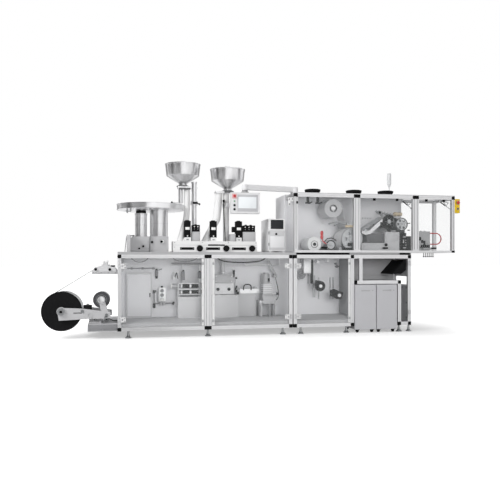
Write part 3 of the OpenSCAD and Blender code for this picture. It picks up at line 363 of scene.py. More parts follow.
def make_finishes(colours):
    """Makes every finish of the machine."""
    across = (1, 1, 20)
    along = (20, 1, 1)
    finish("anodised_profile", colours.profile, 0.4, 0.85, 0.03, 90, across, 0.05)
    finish("stainless", colours.stainless, 0.3, 1, 0.05, 45, across, 0.02, 0.03, 0.9)
    finish("brushed_steel", colours.bright, 0.35, 1, 0.03, 60, across, 0.04, 0.04, 0.85)
    finish("ground_steel", colours.steel, 0.42, 0.9, 0.08, 70, along, 0.06)
    finish("foot_steel", colours.foot, 0.35, 0.9, 0.08, 120, relief=0.06)
    finish("table_steel", colours.table, 0.45, 0.5, 0.04, 60, along, 0.05)
    finish("sheet_grey", colours.sheet, 0.5, 0, 0.03, 420, relief=0.08)
    finish("wall_grey", colours.wall, 0.5, 0, 0.03, 420, relief=0.08)
    finish("tray_grey", colours.tray, 0.5, 0, 0.04, 420, relief=0.08)
    finish("machine_grey", colours.machine, 0.45, 0, 0.04, 380, relief=0.1)
    finish("unit_metal", colours.unit, 0.45, 0.5, 0.08, 110, relief=0.1)
    finish("trolley_grey", colours.trolley, 0.5, 0, 0.04, 700, relief=0.16)
    finish("boom_grey", colours.boom, 0.4, 0, 0.03, 420, relief=0.06)
    finish("white_enamel", colours.white, 0.3, 0, 0.02, 260, relief=0.03, coat_weight=0.2)
    finish("white_plastic", colours.white, 0.4, 0, 0.02, 500, relief=0.08)
    for name, roughness, grain in (
            ("black_plastic", 0.5, 600), ("motor_black", 0.5, 500), ("die_black", 0.45, 300),
            ("flange_black", 0.6, 500), ("chute_black", 0.55, 400), ("rubber_black", 0.7, 700)):
        finish(name, colours.black, roughness, 0, 0.2, grain, relief=0.1, specular_ior_level=0.02)
    finish("dark_grey", colours.dark, 0.5, 0, 0.1, 500, relief=0.1, specular_ior_level=0.3)
    # Also painted shade: the dark plate over the press's recessed face takes this finish, besides the real dark hopper
    # gates and flanges
    finish("shade_steel", colours.shade, 0.45, 0.3, 0.1, 60, across, 0.06)
    # Also painted shade: the dark plates on the stand's box, on the third bay's right wall and at the base's right end
    # take this finish
    finish("cover_grey", colours.cover, 0.5, 0, 0.05, 300, relief=0.08)
    finish("clear_pane", colours.pane, 0.05, 0, 0.01, 30, relief=0, spread=0.02, alpha=0.04)
    finish("film_clear", (0.6, 0.61, 0.62), 0.3, 0, 0.03, 40, relief=0.03, alpha=0.9)
    finish("foil_bright", (0.86, 0.86, 0.87), 0.4, 0, 0.03, 40, along, 0.04, alpha=0.6)
    finish("film_white", (0.8, 0.81, 0.81), 0.4, 0, 0.03, 30, (1, 40, 1), 0.1)
    finish("foil_silver", (0.5, 0.5, 0.51), 0.45, 0.2, 0.04, 40, along, 0.05)
    finish("lamp_white", (0.8, 0.81, 0.82), 0.3, 0, 0.02, 60, alpha=0.8)
    finish("hose_red", colours.red, 0.38, 0, 0.1, 300, relief=0.05)
    finish("lever_red", colours.red, 0.3, 0, 0.06, 300, relief=0.03, coat_weight=0.4)
    finish("stop_yellow", colours.yellow, 0.4, 0, 0.04, 500, relief=0.08)
    finish("bronze", colours.bronze, 0.4, 0.4, 0.1, 80, along, 0.06)
    finish("screw_steel", (0.42, 0.43, 0.44), 0.35, 0.9, 0.08, 300, relief=0.05)
    finish("dial_white", (0.85, 0.85, 0.84), 0.4, 0, 0.02, 300, relief=0.02)
    finish("screen_dark", (0.02, 0.022, 0.024), 0.2, 0, 0.1, 40, relief=0, spread=0.02, specular_ior_level=0.2)
    finish("stop_pink", (0.74, 0.42, 0.42), 0.4, 0, 0.04, 400, relief=0.05)
    finish("screen_lit", (0.78, 0.81, 0.83), 0.2, 0, 0.06, 40, relief=0, spread=0.02,
           emission_color=(0.85, 0.88, 0.9, 1), emission_strength=0.12)
    finish("green_lamp", (0.1, 0.4, 0.18), 0.3, 0, 0.05, 60, relief=0.02)


# The solids that take each finish
SOLID_FINISHES = {
    "anodised_profile": "frame_posts frame_rails",
    "black_plastic": "corner_blocks feeder_knobs roof_vents",
    "boom_grey": "inspection_cabinet panel_boom operator_panel",
    "brushed_steel": "feeder_pan feeder_columns hopper_stands",
    "chute_black": "outfeed_chute",
    "clear_pane": "door_left_pane door_middle_pane door_right_pane guard_panes",
    "dark_grey": "splice_reel",
    "die_black": "die_set dancer_arms",
    "film_clear": "film_web",
    "film_white": "film_roll lid_roll",
    "flange_black": "film_flanges",
    "foil_bright": "foil_web",
    "foil_silver": "foil_roll",
    "foot_steel": "levelling_feet",
    "ground_steel": "web_rollers sealing_drum dancer_guides",
    "hose_red": "air_hose",
    "lamp_white": "signal_lamp",
    "machine_grey": "unwind_stand feeder_housings press_housings",
    "motor_black": "feeder_motors",
    "rubber_black": "trolley_casters",
    "sheet_grey": "hinge_plates splice_table guard_roof drive_cabinets",
    "stainless": "hopper_left hopper_right hopper_lids",
    "stop_yellow": "stop_station",
    "table_steel": "table_plate",
    "tray_grey": "floor_trays",
    "trolley_grey": "trolleys",
    "unit_metal": "drive_units",
    "wall_grey": "housing_panels rear_cabinet",
    "white_enamel": "brush_feeder",
    "white_plastic": "door_left_trim door_middle_trim door_right_trim feed_chutes",
}


def paint_nodes():
    """Puts each solid's finish on it."""
    for name, solids in SOLID_FINISHES.items():
        for solid in solids.split():
            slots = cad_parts[solid].data.materials
            slots.clear()
            slots.append(FINISHES[name])


# Settings

def colour(name, description, default):
    """Colour setting with a picker."""
    return FloatVectorProperty(name=name, description=description, default=default, size=3,
                               subtype="COLOR", min=0, max=1)


class MachineColours(bpy.types.PropertyGroup):
    """Colours of the machine's finishes."""
    profile: colour("Profile", "Anodised frame profiles", (0.76, 0.76, 0.77))
    stainless: colour("Stainless", "Hoppers, their lids and the bands of the pan", (0.84, 0.84, 0.85))
    bright: colour("Bright steel", "Feeder pan, columns and other turned steel", (0.95, 0.95, 0.96))
    steel: colour("Steel", "Ground rollers and shafts", (0.5, 0.51, 0.52))
    table: colour("Table", "Table plate", (0.46, 0.46, 0.47))
    foot: colour("Foot", "Levelling feet", (0.42, 0.43, 0.44))
    sheet: colour("Sheet", "Painted sheet-metal panels", (0.6, 0.6, 0.61))
    wall: colour("Wall", "Mounting wall and rear cabinets", (0.83, 0.83, 0.85))
    # Also painted shade: the liner on the back wall above the trolleys takes this colour
    tray: colour("Tray", "Floor trays", (0.44, 0.44, 0.45))
    machine: colour("Machine", "Painted units on the table and stands", (0.48, 0.48, 0.49))
    unit: colour("Unit", "Machined drive units", (0.5, 0.5, 0.51))
    trolley: colour("Trolley", "Collecting trolleys", (0.54, 0.54, 0.56))
    boom: colour("Boom", "Operator panel, its boom and the inspection cabinet", (0.76, 0.76, 0.77))
    white: colour("White", "White enamel and plastic", (0.8, 0.8, 0.8))
    # Also painted shade: the strips in the gap under the guard's sill take this black
    black: colour("Black", "Black plastic and blackened steel", (0.012, 0.012, 0.0125))
    dark: colour("Dark", "Dark grey reel", (0.07, 0.07, 0.075))
    # Also painted shade: the dark plate over the press's recessed face takes this colour, in place of the shadow there
    shade: colour("Shade", "Dark covers of the press and the hopper gates", (0.13, 0.13, 0.135))
    # Also painted shade: the dark plates on the unwind stand's box, on the third bay's right wall and at the base's
    # right end take this colour
    cover: colour("Cover", "Dark grey covers and cylinders", (0.24, 0.24, 0.25))
    pane: colour("Pane", "Clear doors and guards", (0.9, 0.94, 0.95))
    red: colour("Red", "Air hose, lever and stop buttons", (0.5, 0.02, 0.025))
    yellow: colour("Yellow", "Stop station", (0.8, 0.54, 0.02))
    bronze: colour("Bronze", "Sleeves of the press", (0.62, 0.52, 0.37))


class MachineSizes(bpy.types.PropertyGroup):
    """Sizes of the small parts in millimetres."""
    screw: FloatProperty(name="Screw", description="Radius of the frame's screw heads, in millimetres", default=6)
    cable: FloatProperty(name="Cable", description="Diameter of the cables, in millimetres", default=9)
    hose: FloatProperty(name="Hose", description="Diameter of the hoses, in millimetres", default=14)


class StudioSettings(bpy.types.PropertyGroup):
    """Camera and light."""
    lens: FloatProperty(name="Lens", description="Focal length on a 36 mm sensor", default=41.04)
    yaw: FloatProperty(name="Yaw", description="Turn of the camera to the right of straight on",
                       default=math.radians(10.92), subtype="ANGLE")
    eye: FloatVectorProperty(name="Eye", description="Camera place from the zero of the machine's places",
                             default=(0.216, -6.36, 0.856), subtype="TRANSLATION", unit="LENGTH")
    shift: FloatProperty(name="Shift", description="Upward shift of the picture", default=0.02)
    key_power: FloatProperty(name="Key power", description="Power of the overhead lamp in watts", default=105)
    fill_power: FloatProperty(name="Fill power", description="Power of the front lamp in watts", default=455)
    side_power: FloatProperty(name="Side power", description="Power of the left lamp in watts", default=330)
    sky_level: FloatProperty(name="Sky level", description="Strength of the soft light all round", default=0.25)


# Operators

class MACHINE_OT_finishes(bpy.types.Operator):
    """Makes the finishes and paints the solids"""
    bl_idname = "machine.finishes"
    bl_label = "Finishes"

    def execute(self, context):
        make_finishes(context.scene.machine_colours)
        paint_nodes()
        return {"FINISHED"}


class MACHINE_OT_frame_fittings(bpy.types.Operator):
    """Adds the frame's screws, slot strips and side hinges, and dark strips and liners painted as shade in the gaps and
    bays
    """
    bl_idname = "machine.frame_fittings"
    bl_label = "Frame fittings"

    def execute(self, context):
        radius = context.scene.machine_sizes.screw
        shape = Shape()
        posts = (-4, 945, 985, 1922, 1976, 2672, 3395)
        shape.screws(grid(posts, 0, CORNER_BLOCKS), radius)
        guards = (1985, 2710, 2750, 3457, 3497, 3970)
        shape.screws(grid(guards, 0, [GUARD_TOP - 20]), radius)
        shape.screws([(3266, 0, 97), (3266, 0, 593), (2712, 0, 593)], radius)
        shape.screws([(BASE_LEFT, y, z) for y in (20, 380) for z in CORNER_BLOCKS], radius, -RIGHT)
        shape.done("corner_screws", "black_plastic")
        shape = Shape()
        shape.screws(grid((-4, 1922, 1976), -5, HINGE_SCREWS), 4)
        for x in (90, 965, 1832, 2046, 2602, 3266, 3391):
            shape.lathe((x, 20, 20), UP, [(7, 0), (24, 2), (15, 10), (13, 36), (7, 36)], 1, 24)
        shape.done("frame_screws", "screw_steel foot_steel")
        shape = Shape()
        for x in (945, 985):
            shape.box((x - 4, -0.8, 122), (x + 4, 1, 870), 0.3)
        shape.box((963.5, -0.8, 122), (966.5, 1, 870), 0.3)
        for x in guards:
            shape.box((x - 3, -0.8, 985), (x + 3, 1, 1585), 0.3)
        shape.done("slot_strips", "tray_grey")
        # Black strips with ribs in the groove under the guard's sill: painted shade for the dark gap there
        shape = Shape()
        for x0, x1 in ((1990, 2640), (3280, 3402)):
            shape.box((x0, 6, 919), (x1, 23.5, 941), 1)
            for i in range(int((x1 - x0) / 40)):
                shape.box((x0 + 12 + i * 40, 4, 921), (x0 + 34 + i * 40, 7, 939), 1)
        shape.done("sill_gap_painted_shade", "black_plastic")
        shape = Shape()
        for z in (205, 790):
            shape.box((3383, -6, z), (3407, 0, z + 54), 1.5)
            shape.post(3381, -8, z, z + 54, 6)
            shape.screws(grid([3397], -6, (z + 12, z + 42)), 4)
        shape.done("side_hinges", "sheet_grey")
        # A dark strip with three blocks at the base's right end: painted shade for the gap there
        shape = Shape()
        shape.box((3389.5, 42, 124), (3393.2, 72, 548), 1)
        for z in (150, 330, 510):
            shape.box((3383, 46, z), (3391, 74, z + 22), 2)
        shape.done("end_gap_painted_shade", "cover_grey")
        # Dark liners on the third bay's right wall and on the back wall above the trolleys: painted shade in these
        # recesses
        shape = Shape()
        shape.box((2648.6, 46, 196), (2651.6, 394, 870), 0.5, 1)
        shape.box((2762, 394.5, 580), (3372, 399.5, 870), 0.5)
        shape.screws(grid((2775, 3066, 3358), 394.5, (592, 858)), 5)
        shape.done("bay_painted_shade_liners", "tray_grey cover_grey")
        return {"FINISHED"}


class MACHINE_OT_door_fittings(bpy.types.Operator):
    """Adds the screws and catches of the three lower doors"""
    bl_idname = "machine.door_fittings"
    bl_label = "Door fittings"

    def execute(self, context):
        for body, leaf, strip in (("door_left", (49, 59), 906), ("door_middle", (1869, 1859), 1024),
                                  ("door_right", (2029, 2039), 2633)):
            shape = Shape()
            shape.screws(grid(leaf, -5, HINGE_SCREWS), 4)
            shape.screws(grid([strip], -4, (150, 350, 642, 842)), 4)
            for z in (162, 802):
                shape.box((strip - 10, -9, z), (strip + 10, -4, z + 28), 1)
            shape.done(body + "_fittings", "screw_steel", body)
        return {"FINISHED"}


class MACHINE_OT_unwind_fittings(bpy.types.Operator):
    """Adds the unwind's hub, brake, bolts and reel faces"""
    bl_idname = "machine.unwind_fittings"
    bl_label = "Unwind fittings"

    def execute(self, context):
        shape = Shape()
        x, z = FILM
        shape.ring((x, 10, z), FRONT, 40, 18, 4)
        shape.screws(circle(x, 8, z, 30, 6), 5)
        shape.knob(x, z, 15, -14, 10, 1)
        for bolt_x, bolt_z in ((-317, 259), (-140, 256), (-395, 300), (-150, 232)):
            shape.ring((bolt_x, 25, bolt_z), FRONT, 19, 9, 3)
            shape.screw((bolt_x, 25, bolt_z), 13, FRONT, 9)
        # A dark plate on the front of the stand's box: painted shade for the box's shaded front
        shape.box((-338, 12.5, 88), (-26, 15.5, 156), 1, 2)
        shape.screws(grid((-325, -180, -40), 12.5, (98, 146)), 6)
        shape.box((-386, 47, 312), (-301, 118, 366), 5, 1)
        shape.post(-343, 80, 366, 380, 14)
        shape.box((-372, 40, 296), (-316, 120, 313), 2)
        shape.pin(-155, 189, 26, 262, 330, 1)
        shape.ring((-155, 262, 189), FRONT, 22, 12, 4)
        shape.done("unwind_bolts", "screw_steel black_plastic cover_grey")
        shape = Shape()
        shape.ring((x, 61, z), FRONT, 213, 204, 3, 0, 64)
        shape.ring((x, 61, z), FRONT, 120, 114, 2, 0, 64)
        shape.ring((x, 61, z), FRONT, 74, 50, 8, 0, 48)
        shape.screws(circle(x, 53, z, 62, 6), 5)
        for step in range(7):
            shape.ring((x, 96 + step * 36, z), BACK, 208.4, 206, 1.2, 1, 64)
        shape.done("film_flange_face", "flange_black film_white", "film_reel")
        x, z = SPLICE
        shape = Shape()
        shape.lathe((x, 19, z), FRONT, [(0, 0), (34, 0), (30, 5), (14, 8), (0, 8)], 0, 32)
        shape.screws(circle(x, 13.5, z, 22, 3), 4)
        shape.done("splice_boss", "brushed_steel")
        shape = Shape()
        shape.ring((x, 53, z), FRONT, 89, 80, 2.5, 0, 48)
        shape.ring((x, 53, z), FRONT, 56, 53, 2.5, 1, 48)
        shape.ring((x, 62, z), BACK, 85.6, 83, 172, 2, 48)
        shape.done("splice_reel_face", "dark_grey screw_steel film_white", "splice_reel")
        return {"FINISHED"}


class MACHINE_OT_splice_fittings(bpy.types.Operator):
    """Adds the roller caps and clamp knobs of the splice table"""
    bl_idname = "machine.splice_fittings"
    bl_label = "Splice table fittings"

    def execute(self, context):
        shape = Shape()
        for x, z in ((-258, 754), (-109, 751)):
            shape.knob(x, z, 15, 36, 58)
        shape.box((-300, 52, 704), (-40, 58, 714), 1.5, 1)
        shape.box((-100, 56, 782), (-52, 70, 798), 3)
        shape.done("splice_rollers_caps", "black_plastic machine_grey")
        shape = Shape()
        for x, z, y in ((-176, 828, 158), (-144, 828, 242)):
            shape.post(x, y, z - 24, z + 4, 4)
            shape.lathe((x, y, z + 2), UP, [(0, 0), (9, 0), (12, 5), (12, 14), (8, 18), (0, 18)], 1, 20)
        shape.screws(grid((-285, -200, -120, -45), 58, [718]), 5)
        shape.done("splice_knobs", "screw_steel white_plastic")
        return {"FINISHED"}


class MACHINE_OT_pan_fittings(bpy.types.Operator):
    """Adds the rings, brackets, gauge and grips round the feeder pan"""
    bl_idname = "machine.pan_fittings"
    bl_label = "Feeder pan fittings"

    def execute(self, context):
        shape = Shape()
        for x, y, radius, low, high in ((227, 410, 68, 1121, 1398), (435, 450, 102, 1122, 1440)):
            shape.ring((x, y, low), UP, radius + 8, radius - 1, 14, 0, 64)
            shape.ring((x, y, high - 16), UP, radius + 5, radius - 1, 15, 0, 64)
            shape.ring((x, y, (low + high) / 2), UP, radius + 2, radius - 1, 5, 0, 64)
        shape.ring((338, 450, 1493), UP, 390, 384, 9, 0, 96)
        shape.ring((338, 450, 1440), UP, 388, 384, 7, 0, 96)
        shape.done("pan_bands", "stainless")
        shape = Shape()
        shape.post(331, 136, TABLE_TOP, 1438, 5)
        shape.ring((331, 136, TABLE_TOP), UP, 16, 4, 10)
        shape.box((320, 128, 1420), (342, 200, 1440), 2)
        shape.post(75, 210, 1386, 1442, 8)
        shape.box((58, 196, 1400), (118, 224, 1414), 2)
        shape.box((104, 200, 1408), (120, 262, 1440), 2)
        shape.box((78, 176, 953), (322, 181, 961), 1)
        shape.screws(grid((100, 306), 180, (985, 1060)), 5)
        shape.screws(grid((344, 517), 150, (965, 1104)), 5)
        shape.ring((463, 150, 1064), FRONT, 25, 20, 12)
        shape.done("pan_brackets", "screw_steel")
        shape = Shape()
        shape.pin(463, 1064, 20.5, 141, 150)
        shape.done("feeder_dial", "dial_white")
        shape = Shape()
        shape.knob(252, 1011, 12, 158, 180)
        shape.knob(208, 985, 10, 160, 180)
        shape.lathe((143, 260, 1121), UP, [(0, 0), (6, 0), (6, 8), (12, 10), (12, 18), (0, 20)], 0, 20)
        shape.box((460, 139.5, 1063), (476, 140.8, 1065.5), 0.3)
        shape.done("feeder_grips", "black_plastic")
        return {"FINISHED"}


class MACHINE_OT_hopper_fittings(bpy.types.Operator):
    """Adds the hoppers' turned shells, slide gates, clamps, levers and the sleeve of a stand"""
    bl_idname = "machine.hopper_fittings"
    bl_label = "Hopper fittings"

    def execute(self, context):
        for name, (x, y, z) in (("hopper_left", HOPPER_LEFT), ("hopper_right", HOPPER_RIGHT)):
            shape = Shape()
            shape.lathe((x, y, z), UP, [
                (36, -28), (46, -28), (46, -2), (50, 4), (188, 90), (193, 97), (206, 216),
                (209, 219), (210, 223), (208, 226), (203, 226), (202, 220), (189, 98),
                (184, 93), (40, 4), (36, 2)], 0, 128)
            shape.ring((x, y, z - 34), UP, 74, 20, 8, 2, 64)
            shape.ring((x, y, z - 26), UP, 54, 45, 10, 1, 48)
            shape.screws([(x + 63 * math.cos(a), y + 63 * math.sin(a), z - 26)
                          for a in (i * math.tau / 8 + 0.2 for i in range(8))], 5, UP, 3, 1)
            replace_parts(shape.done(name + "_shell", "stainless screw_steel shade_steel"), name)
        shape = Shape()
        shape.box((666, 370, 1688), (801, 389, 1706), 1.5, 1)
        shape.screws(grid((676, 791), 374, [1697]), 4)
        shape.post(681, 386, 1527, 1692, 11)
        shape.ring((681, 386, 1560), UP, 14, 10, 8)
        shape.rod((583, 386, 1532), (690, 400, 1532), 5)
        shape.box((1200, 322, 1655), (1307, 341, 1672), 1.5, 1)
        shape.screws(grid((1152, 1296), 326, [1663]), 4)
        for x, y, z in ((845, 357, 1527), (1228, 355, 1510)):
            shape.box((x - 14, y - 10, z - 18), (x + 14, y + 6, z + 18), 2)
            shape.screws(grid([x], y - 10, (z - 9, z + 9)), 5)
        shape.ring((845, 400, 957), UP, 40, 28, 10)
        shape.ring((*STAND_AXIS, 957), UP, 42, 31, 10)
        shape.done("hopper_gates", "brushed_steel shade_steel")
        shape = Shape()
        shape.ball((583, 386, 1532), 12)
        shape.rod((876, 339, 1526), (900, 339, 1514), 6)
        shape.ball((902, 339, 1513), 12)
        shape.box((1180, 346, 1540), (1206, 366, 1572), 3)
        shape.done("hopper_grips", "black_plastic")
        shape = Shape()
        shape.ring((*STAND_AXIS, 958), UP, 36, 32.5, 526)
        shape.ring((*STAND_AXIS, 1536), UP, 36, 32.5, 104)
        for z in (1066, 1470):
            shape.ring((*STAND_AXIS, z), UP, 38.5, 35.5, 10)
        shape.done("stand_sleeve", "white_plastic")
        return {"FINISHED"}


class MACHINE_OT_brush_fittings(bpy.types.Operator):
    """Adds the plates, buttons, plugs and grips of the brush feeder's drives"""
    bl_idname = "machine.brush_fittings"
    bl_label = "Brush feeder fittings"

    def execute(self, context):
        drives = (746, 1043, 1339)
        shape = Shape()
        for x in drives:
            shape.box((x - 24, 133.5, 1200), (x + 24, 135.5, 1230), 0.5)
            shape.pin(x, 1130, 7, 132, 135.5)
            shape.box((x - 13, 128.5, 1080), (x + 13, 130.5, 1098), 0.5, 1)
        for x in (823, 863, 1412, 1456, 1500):
            shape.pin(x, 1235, 6, 127, 130.5)
            shape.pin(x, 1209, 4, 127, 130.5, 1)
        shape.done("drive_plates", "dial_white screw_steel")
        shape = Shape()
        for x, wide in ((844, 42), (1458, 70)):
            shape.box((x - wide + 2, 117, 1078), (x + wide - 2, 120.5, 1168), 1.5)
            shape.screws(grid((x - wide + 9, x + wide - 9), 117, (1086, 1160)), 4, material=1)
        shape.box((1240, 117, 1074), (1294, 120.5, 1150), 1.5)
        shape.done("drive_covers", "machine_grey screw_steel")
        shape = Shape()
        for x in drives:
            shape.post(x, 173, 1302, 1311, 26, tip=22)
            for k in range(5):
                shape.box((x - 38.5, 137, 1142 + k * 11), (x + 38.5, 209, 1146 + k * 11), 0.6)
        for x in (844, 1430, 1488):
            shape.post(x, 200, 1255, 1268, 16, tip=13)
        for x in (876, 1176, 1474):
            shape.lathe((x, 19, 987), FRONT, [(0, 0), (26, 0), (22, 4), (8, 5), (0, 5)], 0, 24)
            for rib_x, _, rib_z in circle(x, 0, 987, 33, 12):
                shape.pin(rib_x, rib_z, 3.4, 19.5, 36.5, segments=8)
        shape.done("drive_caps", "black_plastic")
        shape = Shape()
        shape.screws(grid((596, 905, 1200, 1520), 45, (1000, 1052)), 5)
        for x in (655, 947, 1244):
            shape.screws(grid((x + 12, x + 148), 47, [984]), 4)
        shape.box((578, 43.5, 1022), (1535, 45.5, 1024), 0.5)
        shape.done("brush_screws", "screw_steel")
        return {"FINISHED"}


class MACHINE_OT_panel_face(bpy.types.Operator):
    """Adds the screen, stop button and push buttons of the operator panel"""
    bl_idname = "machine.panel_face"
    bl_label = "Operator panel face"

    def execute(self, context):
        left, front, top, width, height = 1223, -20, 1621, 330, 238
        shape = Shape()
        shape.box((left + 0.25 * width, front + 1.5, top - 0.757 * height),
                  (left + 0.88 * width, front + 4.5, top - 0.216 * height), 0.5)
        shape.done("panel_screen", "screen_lit", "panel")
        shape = Shape()
        shape.box((left + 0.225 * width, front + 3, top - 0.912 * height),
                  (left + 0.935 * width, front + 5.2, top - 0.115 * height), 1, 4)
        stop_x, stop_z = left + 0.115 * width, top - 0.19 * height
        shape.box((stop_x - 27, front - 3, stop_z - 27), (stop_x + 27, front + 0.5, stop_z + 27), 1.5, 1)
        shape.pin(stop_x, stop_z, 12, front - 14, front - 3)
        shape.lathe((stop_x, front - 13, stop_z), FRONT,
                    [(0, 0), (15, 0), (16, 4), (13, 9), (6, 11), (0, 11)], 0, 32)
        for z in (top - 0.62 * height, top - 0.81 * height):
            shape.ring((stop_x, front, z), FRONT, 16, 11.5, 4, 3)
            shape.pin(stop_x, z, 11.5, front - 6, front + 0.5, 2)
        shape.ring((stop_x, front, top - 0.43 * height), FRONT, 11, 7.5, 3, 3)
        shape.pin(stop_x, top - 0.43 * height, 7.5, front - 4, front + 0.5, 5)
        shape.screws(grid((left + 8, left + width - 8), front, (top - 8, top - height + 8)), 3.5, material=3)
        shape.box((left - 0.5, 30, top - height + 4), (left + width + 0.5, 33, top - 4), 0.5, 3)
        shape.done("panel_buttons",
                   "lever_red stop_pink black_plastic screw_steel trolley_grey green_lamp",
                   "panel")
        shape = Shape()
        shape.ring((*PANEL_AXIS, 1622), UP, 44, 29, 8)
        shape.ring((*PANEL_AXIS, 1640), UP, 33, 29, 6)
        shape.done("panel_collar", "dark_grey", "panel")
        shape = Shape()
        for x, y, radius in ((*PANEL_AXIS, 30), (*BOOM_AXIS, 36)):
            shape.lathe((x, y, 1713), UP, [(0, 0), (radius, 0), (radius - 3, 4), (0, 5)], 0, 40)
        run = (Vector((*BOOM_AXIS, 0)) - Vector((*PANEL_AXIS, 0))).normalized()
        side = Vector((-run.y, run.x, 0))
        for s in (-1, 1):
            start = Vector((*PANEL_AXIS, 1684)) + run * 50 + side * 30.2 * s
            shape.rod(start, start + run * 520, 3, segments=8)
        shape.done("boom_caps", "boom_grey", "boom")
        return {"FINISHED"}


class MACHINE_OT_inspection_face(bpy.types.Operator):
    """Adds the screen, door and knob of the inspection cabinet"""
    bl_idname = "machine.inspection_face"
    bl_label = "Inspection cabinet face"

    def execute(self, context):
        left, front, low, top = 1667, 40, 959, 1331
        shape = Shape()
        shape.box((left + 6, front - 4, top - 128), (left + 196, front + 1, top - 4), 2)
        shape.box((left + 26, front - 6, top - 118), (left + 176, front - 3.5, top - 12), 1, 1)
        shape.done("inspection_screen", "white_plastic screen_dark")
        shape = Shape()
        shape.box((left + 8, front - 5, low + 14), (left + 194, front + 1, top - 134), 2)
        shape.box((left + 20, front - 6.5, low + 40), (left + 182, front - 4.5, top - 200), 1, 3)
        shape.knob(left + 88, top - 176, 12, front - 26, front - 4, 1)
        shape.screws(grid((left + 16, left + 186), front - 5, (low + 24, low + 220)), 4, material=2)
        for z in (low + 60, low + 190):
            shape.post(left + 5, front - 4, z, z + 34, 5, 2)
        shape.done("inspection_door", "sheet_grey black_plastic screw_steel boom_grey")
        return {"FINISHED"}


class MACHINE_OT_guard_fittings(bpy.types.Operator):
    """Adds the guard's hinges, latches, gas struts, bracket, vent louvres, lamp bands and stop buttons"""
    bl_idname = "machine.guard_fittings"
    bl_label = "Guard fittings"

    def execute(self, context):
        shape = Shape()
        for x in (2950, 3240, 3620, 3849):
            shape.box((x - 16, 8, 1562), (x + 16, 17, 1590), 2)
            shape.bar(6, 1590, x - 14, x + 14, 5)
        for x in (2136, 2257):
            shape.box((x - 30, 26, 1512), (x + 30, 38, 1530), 2)
            shape.box((x - 16, 26, 1526), (x + 16, 38, 1590), 2)
            shape.rod((x + 20, 32, 1520), (x + 52, 32, 1534), 6)
        for z in (1522, 1600):
            shape.box((1988, -6, z - 14), (2006, 0, z + 14), 2)
        for x in (2330, 3090, 3720):
            shape.box((x - 34, 9, 990), (x + 34, 17, 1008), 3)
            shape.box((x - 26, 2, 994), (x + 26, 10, 1004), 3)
        shape.done("guard_hinges", "black_plastic")
        shape = Shape()
        shape.rod((3316, 31, 1568), (3386, 31, 1516), 7, 1)
        shape.rod((3380, 31, 1520), (3436, 31, 1478), 4)
        shape.ball((3316, 31, 1568), 9)
        shape.box((3424, 24, 1468), (3437, 38, 1490), 2)
        shape.box((3306, 24, 1566), (3326, 38, 1590), 2)
        for x in (3316, 3806):
            shape.rod((x + 16, 34, 1572), (x + 120, 34, 1556), 4)
            shape.rod((x + 52, 34, 1566), (x + 86, 34, 1516), 4)
            shape.rod((x + 86, 34, 1516), (x + 116, 34, 1556), 4)
        shape.rod((3806, 31, 1568), (3876, 31, 1522), 7, 1)
        shape.rod((3870, 31, 1526), (3952, 31, 1474), 4)
        shape.box((3796, 24, 1562), (3816, 38, 1590), 2)
        shape.done("gas_struts", "screw_steel black_plastic")
        shape = Shape()
        shape.box((1898, 26, 1534), (1966, 35, 1580), 2)
        shape.box((1898, 26, 1486), (1926, 35, 1536), 2)
        shape.screws([(1911, 26, 1560), (1950, 26, 1563), (1912, 26, 1502)], 7, material=1)
        shape.done("post_bracket", "white_plastic black_plastic")
        shape = Shape()
        for x in (2244, 2764, 3175):
            shape.lathe((x, 200, 1695), UP, [(0, 0), (93, 0), (84, 5), (40, 7), (0, 7)], 0, 64)
            for k in range(3):
                shape.ring((x, 200, 1644 + k * 9), UP, 83, 77, 4, 0, 64)
            for i in range(16):
                across, deep = math.cos(i * math.tau / 16), math.sin(i * math.tau / 16)
                shape.rod((x + 88 * across, 200 + 88 * deep, 1672), (x + 91 * across, 200 + 91 * deep, 1694), 4,
                          segments=8)
        shape.done("vent_louvres", "black_plastic")
        shape = Shape()
        for z in (1806, 1846, 1888):
            shape.ring((*LAMP_AXIS, z), UP, 26.5, 24, 4, 0, 40)
        shape.lathe((*LAMP_AXIS, 1937), UP, [(0, 0), (18, 0), (14, 4), (0, 5)], 0, 32)
        shape.done("lamp_bands", "boom_grey")
        x, z = 4024, GUARD_TOP
        shape = Shape()
        shape.lathe((x, -22, z - 75), FRONT, [(0, 0), (20, 0), (21, 4), (16, 9), (0, 11)], 0, 32)
        shape.ring((x, -6, z - 75), FRONT, 26, 12, 4, 1)
        shape.pin(x, z - 150, 9, -18, -13.5, 2)
        shape.ring((x, -6, z - 150), FRONT, 16, 11, 5, 1)
        shape.screws(grid((x - 26, x + 22), -6, (z - 190, z - 40)), 3.5, material=1)
        shape.done("stop_buttons", "lever_red screw_steel black_plastic")
        return {"FINISHED"}


